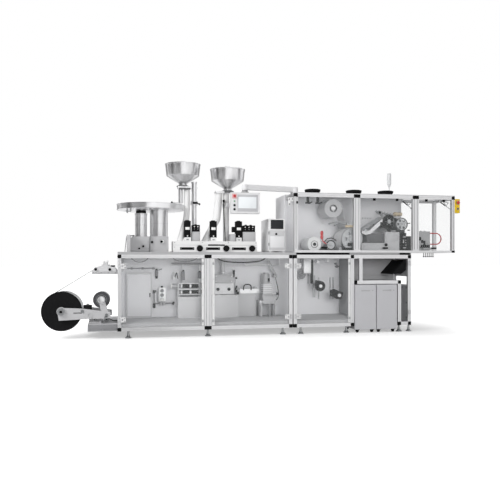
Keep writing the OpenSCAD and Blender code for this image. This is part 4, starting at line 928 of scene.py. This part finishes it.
class MACHINE_OT_press_fittings(bpy.types.Operator):
    """Adds the guides, levers, hubs and knobs of the sealing and punching sections"""
    bl_idname = "machine.press_fittings"
    bl_label = "Press fittings"

    def execute(self, context):
        shape = Shape()
        start, end = Vector((2510, 62, 1308)), Vector((2606, 62, 1286))
        shape.rod(start, end, 7)
        for i in range(7):
            spot = start.lerp(end, (i + 0.5) / 7)
            shape.ring(spot, end - start, 13, 6, 6, 0, 20)
        for x, z in ((2519, 1306), (2590, 1290)):
            shape.pin(x, z, 7, 60, 101)
        x, z = DRUM
        shape.ring((x, 49, z), FRONT, 33, 12, 6)
        shape.screws(circle(x, 49, z, 26, 6), 4)
        shape.ring((x, 61, z), FRONT, 126, 118, 3, 0, 64)
        shape.screws(circle(x, 61, z, 108, 12, 0.5), 5)
        x, z = INDEX_WHEEL
        shape.ring((x, 30, z), FRONT, 77, 70, 3, 3, 64)
        shape.ring((x, 30, z), FRONT, 22, 8, 9)
        shape.bar(60, z + 14, x + 80, x + 126, 5, 3)
        shape.bar(60, z - 70, x + 92, x + 118, 6, 3)
        for fit_x, fit_z in ((2425, 1033), (2542, 987), (2862, 1201)):
            shape.ring((fit_x, 61, fit_z), FRONT, 15, 6, 5)
        for i in range(4):
            shape.knob(2957 + i * 33, 1380, 8, 386, WALL_Y)
        shape.rod((2425, 55, 1033), (2368, 55, 1048), 8)
        for bx in (3270, 3358):
            shape.pin(bx, 1405, 6, 140, WALL_Y)
        shape.plate([(3124, 1470), (3138, 1484), (3238, 1412), (3224, 1394)], 380, WALL_Y, 2)
        shape.plate([(2806, 1176), (2858, 1157), (2920, 1167), (2996, 1230), (3092, 1318), (3066, 1348),
                     (2964, 1264), (2906, 1210), (2858, 1196), (2814, 1206)], 51, 56, 1, 4)
        for i in range(6):
            row_x, row_z = 3146 + i * 38, 1462 - i * 8
            shape.pin(row_x, row_z, 8, 330, WALL_Y)
            shape.ring((row_x, 330, row_z), FRONT, 13, 5, 6, 0, 20)
        shape.screws(grid((2816, 2950, 3094), 48, (965, 1045)), 5)
        shape.screws(grid((3122, 3274), 50, (965, 1075, 1180)), 5)
        shape.box((3128, 47.5, 1084), (3268, 50.5, 1168), 1.5, 1)
        # A dark plate over the press's recessed face: painted shade standing in for the shadow in that recess
        shape.box((2892, 86, 1061), (3106, 90.5, 1178), 1.5, 2)
        shape.box((2572, 42, 973), (2688, 57, 1002), 2, 3)
        shape.box((2640, 42, 1020), (2688, 57, 1058), 2, 3)
        shape.tube(smooth_line([(2343, 55, 1062), (2372, 55, 1100), (2420, 55, 1114),
                                (2464, 55, 1104), (2491, 55, 1080)]), 6, 3)
        shape.ring((2426, 61, 1033), FRONT, 58, 46, 3, 3, 48)
        shape.done("press_guides", "ground_steel machine_grey shade_steel die_black boom_grey")
        shape = Shape()
        shape.bar(58, 1256, 2606, 2730, 13)
        shape.ring((2616, 58, 1256), RIGHT, 17, 12, 12)
        shape.ring((2654, 58, 1256), RIGHT, 17, 12, 16)
        shape.bar(146, 1416, 3256, 3362, 20)
        shape.ring((3272, 146, 1416), RIGHT, 27, 19, 30)
        shape.ring((3322, 146, 1416), RIGHT, 25, 19, 18)
        shape.done("bronze_sleeves", "bronze")
        shape = Shape()
        line = smooth_line([(2312, 55, 1197), (2313, 55, 1150), (2318, 55, 1100), (2336, 55, 1068),
                            (2368, 55, 1048)])
        shape.tube(line, 7)
        shape.lathe((2313, 55, 1098), UP, [(0, 0), (10, 0), (17, 12), (18, 34), (13, 48), (18, 62),
                    (17, 88), (9, 101), (0, 103)], 0, 24)
        shape.done("tension_lever", "lever_red")
        shape = Shape()
        x, z = INDEX_DRUM
        shape.ring((x, 50, z), FRONT, 58, 52, 3, 0, 48)
        shape.lathe((x, 50, z), FRONT, [(0, 0), (26, 0), (26, 8), (18, 14), (0, 14)], 1, 32)
        shape.screws(circle(x, 50, z, 40, 6), 5, material=1)
        shape.knob(3108, 1038, 18, 22, 50)
        shape.knob(3140, 1446, 16, 272, 302)
        shape.box((3296, 74, 1140), (3390, 81, 1186), 3)
        shape.screws(grid((3306, 3380), 74, (1150, 1176)), 4, material=1)
        for bx in (3318, 3366):
            shape.post(bx, 110, 1183, 1205, 9)
        shape.box((3344, 68, 1130), (3380, 75, 1142), 1, 2)
        shape.box((3346, 68, 1060), (3358, 80, 1104), 2, 2)
        shape.box((3344, 68, 998), (3384, 80, 1010), 2, 2)
        shape.screws(grid([3384], 78, (1036, 1066, 1096)), 7, material=2)
        shape.done("punch_hubs", "die_black screw_steel machine_grey")
        shape = Shape()
        for i in range(6):
            shape.ring((3652 + i * 25, 140, 892), UP, 9, 5, 10, 0, 16)
        shape.box((3584, 146, 1014), (3736, 151, 1206), 2, 1)
        shape.screws(grid((3594, 3726), 146, (1024, 1196)), 5, material=2)
        for bz in (1054, 1190):
            shape.bar(225, bz, 3742, 3762, 13, 2, tip=11)
        for bx in (3610, 3660, 3710):
            shape.post(bx, 225, 1209, 1222, 12, 2, tip=10)
        for bx, low, high in ((3594, 1096, 1140), (3622, 1066, 1104), (3652, 1040, 1092)):
            shape.box((bx, 132, low), (bx + 22, 147, high), 2)
        for i in range(5):
            cup_x = 3620 + i * 25
            shape.post(cup_x, 130, 972, 1042, 5, 2)
            shape.post(cup_x, 130, 1010, 1042, 9)
        shape.box((3606, 128, 1006), (3734, 146.5, 1016), 2)
        shape.done("suction_head", "rubber_black tray_grey screw_steel")
        return {"FINISHED"}


class MACHINE_OT_reel_faces(bpy.types.Operator):
    """Adds the cores, chucks and wound edges of the foil and lid rolls"""
    bl_idname = "machine.reel_faces"
    bl_label = "Reel faces"

    def execute(self, context):
        reels = (("foil_reel", FOIL, 108, 40, 28, 3, "foil_silver"), ("lid_reel", LID, 84, 38, 37, 2, "film_white"))
        for body, (x, z), radius, core, hub, cap, finish_name in reels:
            shape = Shape()
            for k in range(5):
                outer = core + 12 + (radius - core - 16) * k / 4
                shape.ring((x, 65, z), FRONT, outer, outer - 2, 0.8, 0, 64)
            shape.ring((x, 65, z), FRONT, core + 4, core - 0.5, 4, 1, 48)
            shape.lathe((x, 64, z), FRONT, [(0, 0), (hub, 0), (hub - 2, 6), (22, 8), (0, 8)], 3, 32)
            shape.lathe((x, 55, z), FRONT, [(0, 0), (20, 0), (17, 6), (0, 7)], cap, 32)
            reach = core - 4
            for i in range(3):
                across, rise = math.cos(i * math.tau / 3 + 0.5), math.sin(i * math.tau / 3 + 0.5)
                shape.rod((x + 14 * across, 58, z + 14 * rise), (x + reach * across, 60, z + reach * rise), 3, 3)
            shape.done(body + "_face", finish_name + " dark_grey black_plastic white_plastic", body)
        return {"FINISHED"}


class MACHINE_OT_left_bay(bpy.types.Operator):
    """Adds the air supply and drives behind the left door"""
    bl_idname = "machine.left_bay"
    bl_label = "Left bay"

    def execute(self, context):
        shape = Shape()
        shape.bar(393, 758, 70, 386, 6, 3)
        for x in (120, 246, 368):
            shape.box((x - 11, 380, 746), (x + 11, WALL_Y, 770), 2, 3)
        shape.post(405, 378, 668, 738, 17, 3)
        shape.box((386, 368, 694), (424, WALL_Y, 720), 2, 3)
        shape.rod((405, 374, 730), (470, 374, 752), 5, 3)
        shape.bar(350, 351, 378, 606, 8, 3)
        shape.post(378, 350, 351, 500, 6, 3)
        for z in (556, 480):
            shape.bar(290, z, 662, 924, 25, 4)
        shape.box((572, 290, 803), (922, 312, 826), 2, 3)
        shape.box((370, 340, 468), (398, 362, 488), 2)
        shape.box((423, 322, 377), (509, 328, 537), 2)
        shape.post(601, 320, 630, 720, 6)
        shape.bar(320, 710, 601, 640, 6)
        shape.box((590, 308, 640), (614, 332, 662), 2)
        for x, low, high in ((709, 623, 723), (900, 640, 712)):
            shape.box((x - 19, 282, low), (x + 19, 320, high), 3, 3)
            shape.post(x, 300, 592, low, 9)
            shape.post(x, 300, high, 800, 7)
        for z in (585, 518, 459):
            shape.bar(244, z, 660, 900, 7)
        shape.bar(300, 810, 567, 927, 10)
        for x in (600, 760, 890):
            shape.post(x, 300, 810, FRAME_TOP, 6)
        for x in (676, 780, 884):
            shape.ring((x, 290, 556), RIGHT, 29, 22, 22, 0, 32)
            shape.ring((x, 290, 480), RIGHT, 29, 22, 22, 0, 32)
        shape.box((655, 196, 205), (905, 200.5, 420), 2, 1)
        shape.screws(grid((668, 892), 196, (218, 406)), 5)
        shape.box((74, 336, 210), (336, 340.5, 690), 2, 2)
        shape.screws(grid((88, 322), 336, (224, 450, 676)), 5)
        shape.done("air_supply", "brushed_steel sheet_grey wall_grey cover_grey black_plastic")
        dials = (500, 450, 397)
        shape = Shape()
        for z in dials:
            shape.ring((466, 322, z), FRONT, 22, 18, 12, 1)
            shape.pin(466, z, 18.5, 313, 322, 0 if z < 420 else 2)
        shape.bar(290, 556, 566, 580, 30, tip=32)
        shape.done("air_dials", "dial_white screw_steel cover_grey")
        shape = Shape()
        for z in dials:
            shape.box((465, 312, z - 2), (467.5, 313.5, z + 14), 0.3)
        shape.post(405, 378, 738, 754, 13, tip=11)
        shape.post(405, 378, 640, 668, 11, tip=15)
        shape.post(466, 325, 537, 556, 15, tip=12)
        for x, z in ((709, 723), (900, 712)):
            shape.post(x, 290, z, z + 16, 14, tip=12)
        shape.box((322, 328, 428), (334, 336.5, 474), 2)
        shape.post(378, 350, 300, 350, 15, tip=12)
        shape.rod((590, 346, 336), (606, 346, 366), 14)
        shape.post(382, 350, 470, 505, 14, tip=17)
        shape.rod((608, 318, 640), (634, 318, 712), 5)
        shape.rod((648, 318, 640), (634, 318, 712), 5)
        shape.done("air_grips", "black_plastic")
        return {"FINISHED"}


class MACHINE_OT_middle_bay(bpy.types.Operator):
    """Adds the forming drive, rail and pump behind the middle door"""
    bl_idname = "machine.middle_bay"
    bl_label = "Middle bay"

    def execute(self, context):
        shape = Shape()
        shape.box((1072, 224, 596), (1280, 230.5, 678), 3, 2)
        shape.screws(grid((1084, 1268), 224, (608, 666)), 6)
        shape.box((1074, 242, 456), (1298, 249.5, 584), 2, 3)
        shape.screws(grid((1086, 1286), 242, (468, 572)), 5)
        shape.post(1292, 260, 684, 704, 7)
        shape.post(1176, 300, 687, FRAME_TOP, 22, 1)
        shape.ring((1176, 300, 700), UP, 34, 21, 14)
        shape.ring((1176, 300, 880), UP, 34, 21, 14)
        shape.post(1339, 320, 500, 640, 6)
        shape.box((1377, 296, 456), (1614, 303, 514), 2)
        shape.screws(grid((1390, 1600), 296, (466, 504)), 5)
        for z in (462, 486, 510, 534, 556):
            shape.box((1646, 236, z), (1760, 374, z + 8), 1)
        shape.post(1690, 305, 690, 704, 40, tip=34)
        shape.bar(300, 452, 1770, 1826, 10)
        shape.rod((1722, 300, 850), (1818, 300, 670), 13, 2)
        shape.post(1729, 300, 830, FRAME_TOP, 12)
        shape.box((1794, 286, 650), (1830, WALL_Y, 680), 3, 2)
        shape.box((1636, 192, 340), (1778, 199, 430), 2, 2)
        for x in (1584, 1708, 1756):
            shape.box((x, 190, 192), (x + 24, 199, 334), 1.5, 4)
        shape.bar(300, 800, 1440, 1860, 8)
        shape.post(1860, 300, 800, FRAME_TOP, 8)
        shape.post(1440, 300, 800, FRAME_TOP, 8)
        shape.box((1064, 196, 206), (1336, 200.5, 440), 2, 1)
        shape.screws(grid((1078, 1322), 196, (220, 426)), 5)
        shape.box((1358, 296, 206), (1566, 300.5, 440), 2, 1)
        shape.done("forming_drive", "brushed_steel sheet_grey machine_grey boom_grey cover_grey")
        shape = Shape()
        for x in (1107, 1236):
            shape.knob(x, 515, 18, 212, 242)
        shape.post(1298, 260, 654, 740, 12, tip=15)
        shape.ball((1339, 320, 642), 13)
        shape.knob(1326, 493, 16, 236, 262)
        shape.box((1332, 256, 448), (1362, 282, 482), 3)
        shape.rod((1318, 262, 505), (1338, 262, 553), 8)
        shape.tube(smooth_line([(1421, 292, 500), (1424, 286, 545), (1445, 284, 564), (1467, 284, 566),
                                (1489, 284, 564), (1510, 286, 545), (1513, 292, 500)]), 7)
        shape.bar(300, 452, 1822, 1846, 16, tip=13)
        shape.post(1719, 270, 600, 640, 16)
        shape.ball((1811, 300, 675), 15)
        shape.box((1700, 219, 396), (1752, 225, 424), 2)
        shape.done("forming_grips", "black_plastic")
        return {"FINISHED"}


class MACHINE_OT_right_bay(bpy.types.Operator):
    """Adds the dancer rollers' fittings, gearbox and conduit of the right bays"""
    bl_idname = "machine.right_bay"
    bl_label = "Right bay"

    def execute(self, context):
        shape = Shape()
        for x, z in ((2344, 833), (2471, 847)):
            shape.pin(x, z, 11, 300, WALL_Y)
            shape.ring((x, 300, z), FRONT, 16, 8, 6)
        shape.box((2150, 246, 700), (2238, 250.5, 868), 3)
        shape.screws(grid((2160, 2228), 246, (712, 856)), 5)
        shape.ring((2135, 300, 677), FRONT, 50, 26, 6, 1, 40)
        shape.lathe((2135, 300, 677), FRONT, [(0, 0), (22, 0), (18, 14), (0, 14)], 1, 32)
        shape.bar(392, 776, 2594, 2644, 8, 1)
        shape.box((2606, 366, 758), (2622, 398, 800), 2, 1)
        shape.rod((2598, 350, 812), (2598, 396, 812), 12, 1)
        for x, z in ((2322, 546), (2556, 434)):
            shape.ring((x, 124, z), FRONT, 19, 8, 5)
            shape.screw((x, 124, z), 8)
        for x in (2376, 2523, 2562):
            shape.screws(grid([x + 6], 386, (390, 500, 620)), 5)
        shape.post(2712, 392, 665, 873, 7)
        shape.box((2700, 380, 740), (2724, WALL_Y, 764), 2)
        shape.box((2722, 384, 800), (2756, WALL_Y, 834), 2)
        shape.done("dancer_fittings", "brushed_steel cover_grey")
        shape = Shape()
        for x, z, radius in ((2322, 546, 54), (2556, 434, 40)):
            shape.ring((x, 140, z), FRONT, radius, radius - 7, 4, 0, 48)
        shape.box((2250, 304, 570), (2284, 310.5, 860), 2)
        for z in (600, 660, 720, 780, 840):
            shape.box((2246, 306, z), (2288, 312, z + 6), 0.8)
        shape.done("dancer_rims", "black_plastic")
        return {"FINISHED"}


class MACHINE_OT_trolley_fittings(bpy.types.Operator):
    """Adds the handle cups, kick plates and wheel caps of the collecting trolleys"""
    bl_idname = "machine.trolley_fittings"
    bl_label = "Trolley fittings"

    def execute(self, context):
        shape = Shape()
        for x in (2697, 2963):
            shape.box((x + 75, -29.5, 490), (x + 183, -6, 504.5), 1)
            shape.box((x + 70, -31.5, 504), (x + 188, -28, 509), 1.2, 1)
            shape.box((x + 70, -31.5, 485), (x + 188, -28, 490), 1.2, 1)
            shape.pin(x + 214, 497, 8, -32.5, -29, 2)
            for z in (90, 300, 440):
                shape.post(x + 255, -28, z, z + 34, 4, 1, segments=10)
        shape.done("trolley_handles", "tray_grey trolley_grey screw_steel")
        shape = Shape()
        for x in (2735, 2917, 3001, 3183):
            for y in (14, 340):
                for s in (-1, 1):
                    shape.bar(y, 16, x + s * 11, x + s * 12.5, 9, tip=7)
        shape.done("caster_caps", "screw_steel")
        return {"FINISHED"}


class MACHINE_OT_rear_fittings(bpy.types.Operator):
    """Adds the latches, hinges, handles and main switch at the back"""
    bl_idname = "machine.rear_fittings"
    bl_label = "Rear fittings"

    def execute(self, context):
        rows = ((5, -14, 683, 130, 860), (3, 1965, 491, 975, 1640))
        doors = [(left + wide * i, left + wide * (i + 1), low, high)
                 for count, left, wide, low, high in rows for i in range(count)]
        shape = Shape()
        for x0, x1, low, high in doors:
            for z in (low + 0.78 * (high - low), low + 0.45 * (high - low)):
                shape.lathe((x1 - 40, BACK_Y, z), BACK, [(0, 0), (15, 0), (15, 4), (11, 7), (0, 7)], 0, 24)
            for z in (low + 60, high - 100):
                shape.post(x0 + 14, BACK_Y + 3, z, z + 60, 6)
            middle, top = (x0 + x1) / 2, low + 0.62 * (high - low)
            shape.tube(smooth_line([(middle - 60, BACK_Y - 1, top), (middle - 60, BACK_Y + 7, top),
                                    (middle - 50, BACK_Y + 12, top), (middle + 50, BACK_Y + 12, top),
                                    (middle + 60, BACK_Y + 7, top), (middle + 60, BACK_Y - 1, top)]), 5)
        shape.done("rear_latches", "black_plastic")
        shape = Shape()
        for x0, x1, low, high in doors:
            shape.screws(grid((x0 + 30, x1 - 22), BACK_Y, (low + 14, high - 14)), 5, BACK)
        shape.box((3300, BACK_Y - 1, 700), (3370, BACK_Y + 4, 770), 2, 1)
        shape.lathe((3335, BACK_Y + 3, 735), BACK, [(0, 0), (24, 0), (22, 8), (0, 8)], 2, 32)
        shape.box((3328, BACK_Y + 8, 712), (3342, BACK_Y + 15, 758), 2, 2)
        shape.done("main_switch", "screw_steel stop_yellow lever_red")
        return {"FINISHED"}


class MACHINE_OT_hoses(bpy.types.Operator):
    """Adds the hoses and cables, each at its real length"""
    bl_idname = "machine.hoses"
    bl_label = "Hoses and cables"

    def execute(self, context):
        sizes = context.scene.machine_sizes
        x0, low, bend, run = 3743, 1054, 68, 122
        line = [(x0 + run * i / 4, 225, low) for i in range(4)]
        line += arc_line((x0 + run, low + bend), bend, -90, 90, 18, 225)
        line += [(x0 + run * i / 4, 225, low + 2 * bend) for i in range(3, -1, -1)]
        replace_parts(add_cord("air_hose_loop", line, sizes.hose, "hose_red"), "air_hose")
        hose, cable = sizes.hose, sizes.cable
        for name, diameter, material, points in (
                ("forming_hose", hose, "rubber_black",
                 ((1083, 200, FRAME_TOP), (1100, 200, 879), (1142, 200, 853), (1215, 200, 836), (1383, 200, 827),
                  (1551, 200, 836), (1624, 200, 853), (1665, 200, 879), (1682, 200, FRAME_TOP))),
                ("film_heater_cable", cable, "cover_grey",
                 ((112, 180, FRAME_TOP), (124, 180, 872), (165, 180, 842), (212, 180, 832), (262, 180, 842),
                  (302, 180, 872), (314, 180, FRAME_TOP))),
                ("feeder_cable", cable, "cover_grey",
                 ((575, 200, FRAME_TOP), (592, 200, 872), (650, 200, 846), (722, 200, 838), (794, 200, 846),
                  (853, 200, 872), (870, 200, FRAME_TOP))),
                ("level_sensor_cable", cable, "rubber_black",
                 ((1193, 346, 1550), (1190, 334, 1500), (1190, 318, 1400), (1193, 296, 1280), (1196, 270, 1160),
                  (1198, 256, 1068))),
                ("pump_cable", cable, "rubber_black",
                 ((1812, 292, 650), (1818, 288, 600), (1838, 290, 520), (1852, 310, 440), (1850, 350, 390),
                  (1846, WALL_Y, 372))),
                ("brake_cable", cable, "rubber_black",
                 ((-129, 300, 189), (-108, 299, 181), (-84, 292, 170), (-56, 284, 168), (-30, 284, 170),
                  (-6, 286, 178)))):
            add_cord(name, smooth_line(points), diameter, material)
        return {"FINISHED"}


class MACHINE_OT_stage(bpy.types.Operator):
    """Makes the floor, the lamps, the mirrored cards and the camera"""
    bl_idname = "machine.stage"
    bl_label = "Stage"

    def execute(self, context):
        studio = context.scene.machine_studio
        self.floor()
        self.world(context, studio.sky_level)
        self.lamp("key_lamp", (-0.2, 1, 4.8), (0, 0, 0), 4.5, studio.key_power)
        self.lamp("front_lamp", (0.8, -11, 2.5), (0.2, 0, 0.8), 4.8, studio.fill_power)
        self.lamp("left_lamp", (-6, -2.5, 4.5), (0, 0, 1.2), 3.5, studio.side_power)
        self.card("left_card", (-6, -1.5, 0), (0, -1.5, 0), 4.5, 0.4)
        self.mat("floor_mat", (-0.95, -0.5), math.radians(18), 0.42)
        self.card("left_strip", (-5.6, -1, 0), (0, -0.4, 0), 0.7, 0.06)
        self.card("corner_card", (-5.6, -7, 0), (-5.6, 0, 0), 2.25, 0.42)
        self.card("front_strip", (-3.5, -6.8, 0), (-0.95, 0, 0), 0.3, 0.1)
        self.card("right_strip", (6, -1.6, 0), (0, -0.4, 0), 0.9, 0.1)
        self.card("back_card", (0, 7, 0), (0, 0, 0), 9, 0.5)
        self.camera(context, studio)
        return {"FINISHED"}

    def seen_straight(self, tree, mirrored=1):
        """Gives 1 to camera and transmission rays, a share to glossy rays, and 0 to the light on the machine."""
        link = tree.links.new
        path = add_node(tree, "LightPath")
        pair = add_node(tree, "Math", operation="MAXIMUM")
        link(path.outputs["Is Camera Ray"], pair.inputs[0])
        link(path.outputs["Is Transmission Ray"], pair.inputs[1])
        share = add_node(tree, "Math", {1: mirrored}, operation="MULTIPLY")
        link(path.outputs["Is Glossy Ray"], share.inputs[0])
        either = add_node(tree, "Math", operation="MAXIMUM")
        link(pair.outputs[0], either.inputs[0])
        link(share.outputs[0], either.inputs[1])
        return either.outputs[0]

    def flat(self, name, size, material):
        """Adds a square sheet of the stage."""
        bm = bmesh.new()
        bmesh.ops.create_grid(bm, x_segments=1, y_segments=1, size=size)
        mesh = bpy.data.meshes.new(name)
        bm.to_mesh(mesh)
        bm.free()
        mesh.materials.append(material)
        obj = bpy.data.objects.new(name, mesh)
        bpy.context.scene.collection.objects.link(obj)
        return obj

    def floor(self):
        """Adds the white floor. It keeps the machine's real shadow, and it has a painted shadow round the machine where
        its glow is dimmed.
        """
        material = finish("studio_floor", (0.7, 0.7, 0.7), 0.9, tone=0, relief=0)
        tree = material.node_tree
        link = tree.links.new
        # The glow fades towards the machine's box, which paints a soft shadow on the floor in addition to the real one
        away = add_node(tree, "TexCoord").outputs["Object"]
        for operation, value in (("ABSOLUTE", None), ("SUBTRACT", PAINTED_SHADOW_HALF), ("MAXIMUM", (0, 0, 0))):
            step = add_node(tree, "VectorMath", {1: value} if value else None, operation=operation)
            link(away, step.inputs[0])
            away = step.outputs["Vector"]
        reach = add_node(tree, "VectorMath", operation="LENGTH")
        link(away, reach.inputs[0])
        rise = add_node(tree, "MapRange", {"From Max": PAINTED_SHADOW_REACH, "To Min": FLOOR_GLOW_IN_PAINTED_SHADOW},
                        interpolation_type="SMOOTHSTEP")
        link(reach.outputs["Value"], rise.inputs["Value"])
        lift = add_node(tree, "Math", operation="MULTIPLY")
        link(self.seen_straight(tree, FLOOR_MIRRORED), lift.inputs[0])
        link(rise.outputs["Result"], lift.inputs[1])
        glow = add_node(tree, "Emission", {"Color": (1, 1, 1, 1)})
        link(lift.outputs[0], glow.inputs["Strength"])
        total = add_node(tree, "AddShader")
        link(tree.nodes["Principled BSDF"].outputs["BSDF"], total.inputs[0])
        link(glow.outputs["Emission"], total.inputs[1])
        link(total.outputs["Shader"], tree.nodes["Material Output"].inputs["Surface"])
        self.flat("studio_floor", 60, material)

    def card(self, name, spot, aim, half_width, tone):
        """Adds a tall card that stands beside the machine and faces a point."""
        turn = (Vector(aim) - Vector(spot)).to_track_quat("Z", "Y").to_matrix().to_4x4()
        size = Matrix.Diagonal((half_width, CARD_HALF_HEIGHT, 1, 1))
        self.reflected(name, tone, Matrix.Translation(spot) @ turn @ size)

    def mat(self, name, corner, turn, tone):
        """Adds a grey mat on the floor in front, left of a slanted line."""
        turned = Matrix.Translation((*corner, MAT_HEIGHT)) @ Matrix.Rotation(-turn, 4, "Z")
        wide, deep = MAT_HALF
        self.reflected(name, tone, turned @ Matrix.Translation((-wide, -deep, 0)) @ Matrix.Diagonal((wide, deep, 1, 1)))

    def reflected(self, name, tone, matrix):
        """Adds a sheet of one tone that only shows as a reflection in the bright metal."""
        obj = self.flat(name, 1, finish(name, (tone, tone, tone), 0.9, tone=0, relief=0))
        obj.data.transform(matrix)
        obj.visible_camera = False
        obj.visible_diffuse = False
        obj.visible_shadow = False
        obj.visible_transmission = False

    def world(self, context, level):
        """Makes a white background that lights the machine softly."""
        world = bpy.data.worlds.new("studio_light")
        context.scene.world = world
        world.use_nodes = True
        tree = world.node_tree
        back = tree.nodes["Background"]
        back.inputs["Color"].default_value = (1, 1, 1, 1)
        mix = add_node(tree, "MapRange", {"To Min": level, "To Max": 1})
        tree.links.new(self.seen_straight(tree), mix.inputs["Value"])
        tree.links.new(mix.outputs["Result"], back.inputs["Strength"])

    def lamp(self, name, spot, aim, size, power):
        """Adds a soft round lamp."""
        data = bpy.data.lights.new(name, "AREA")
        data.shape = "DISK"
        data.size = size
        data.energy = power
        obj = bpy.data.objects.new(name, data)
        obj.location = spot
        obj.rotation_euler = (Vector(aim) - Vector(spot)).to_track_quat("-Z", "Y").to_euler()
        obj.visible_glossy = False
        bpy.context.scene.collection.objects.link(obj)

    def camera(self, context, studio):
        """Adds the camera, level and turned a little to the right."""
        data = bpy.data.cameras.new("studio_camera")
        data.sensor_width = 36
        data.lens = studio.lens
        data.shift_y = studio.shift
        obj = bpy.data.objects.new("studio_camera", data)
        obj.location = place(0, 0, 0) + Vector(studio.eye)
        obj.rotation_euler = (math.radians(90), 0, -studio.yaw)
        context.scene.collection.objects.link(obj)
        context.scene.camera = obj
        context.scene.view_settings.view_transform = "Standard"


OPERATORS = (
    MACHINE_OT_finishes, MACHINE_OT_stage, MACHINE_OT_hoses, MACHINE_OT_frame_fittings, MACHINE_OT_door_fittings,
    MACHINE_OT_unwind_fittings, MACHINE_OT_splice_fittings, MACHINE_OT_pan_fittings, MACHINE_OT_hopper_fittings,
    MACHINE_OT_brush_fittings, MACHINE_OT_panel_face, MACHINE_OT_inspection_face, MACHINE_OT_guard_fittings,
    MACHINE_OT_press_fittings, MACHINE_OT_reel_faces, MACHINE_OT_left_bay, MACHINE_OT_middle_bay,
    MACHINE_OT_right_bay, MACHINE_OT_trolley_fittings, MACHINE_OT_rear_fittings,
)


class MACHINE_PT_sidebar(bpy.types.Panel):
    """Lists the machine's operators"""
    bl_idname = "MACHINE_PT_sidebar"
    bl_label = "Blister machine"
    bl_space_type = "VIEW_3D"
    bl_region_type = "UI"
    bl_category = "Machine"

    def draw(self, context):
        for operator in OPERATORS:
            self.layout.operator(operator.bl_idname)


GROUPS = (MachineColours, MachineSizes, StudioSettings)


def register():
    for item in GROUPS + OPERATORS + (MACHINE_PT_sidebar,):
        bpy.utils.register_class(item)
    bpy.types.Scene.machine_colours = PointerProperty(type=MachineColours)
    bpy.types.Scene.machine_sizes = PointerProperty(type=MachineSizes)
    bpy.types.Scene.machine_studio = PointerProperty(type=StudioSettings)


def unregister():
    del bpy.types.Scene.machine_studio
    del bpy.types.Scene.machine_sizes
    del bpy.types.Scene.machine_colours
    for item in reversed(GROUPS + OPERATORS + (MACHINE_PT_sidebar,)):
        bpy.utils.unregister_class(item)


def main():
    register()
    for operator in OPERATORS:
        group, name = operator.bl_idname.split(".")
        getattr(getattr(bpy.ops, group), name)()


if __name__ == "__main__":
    main()
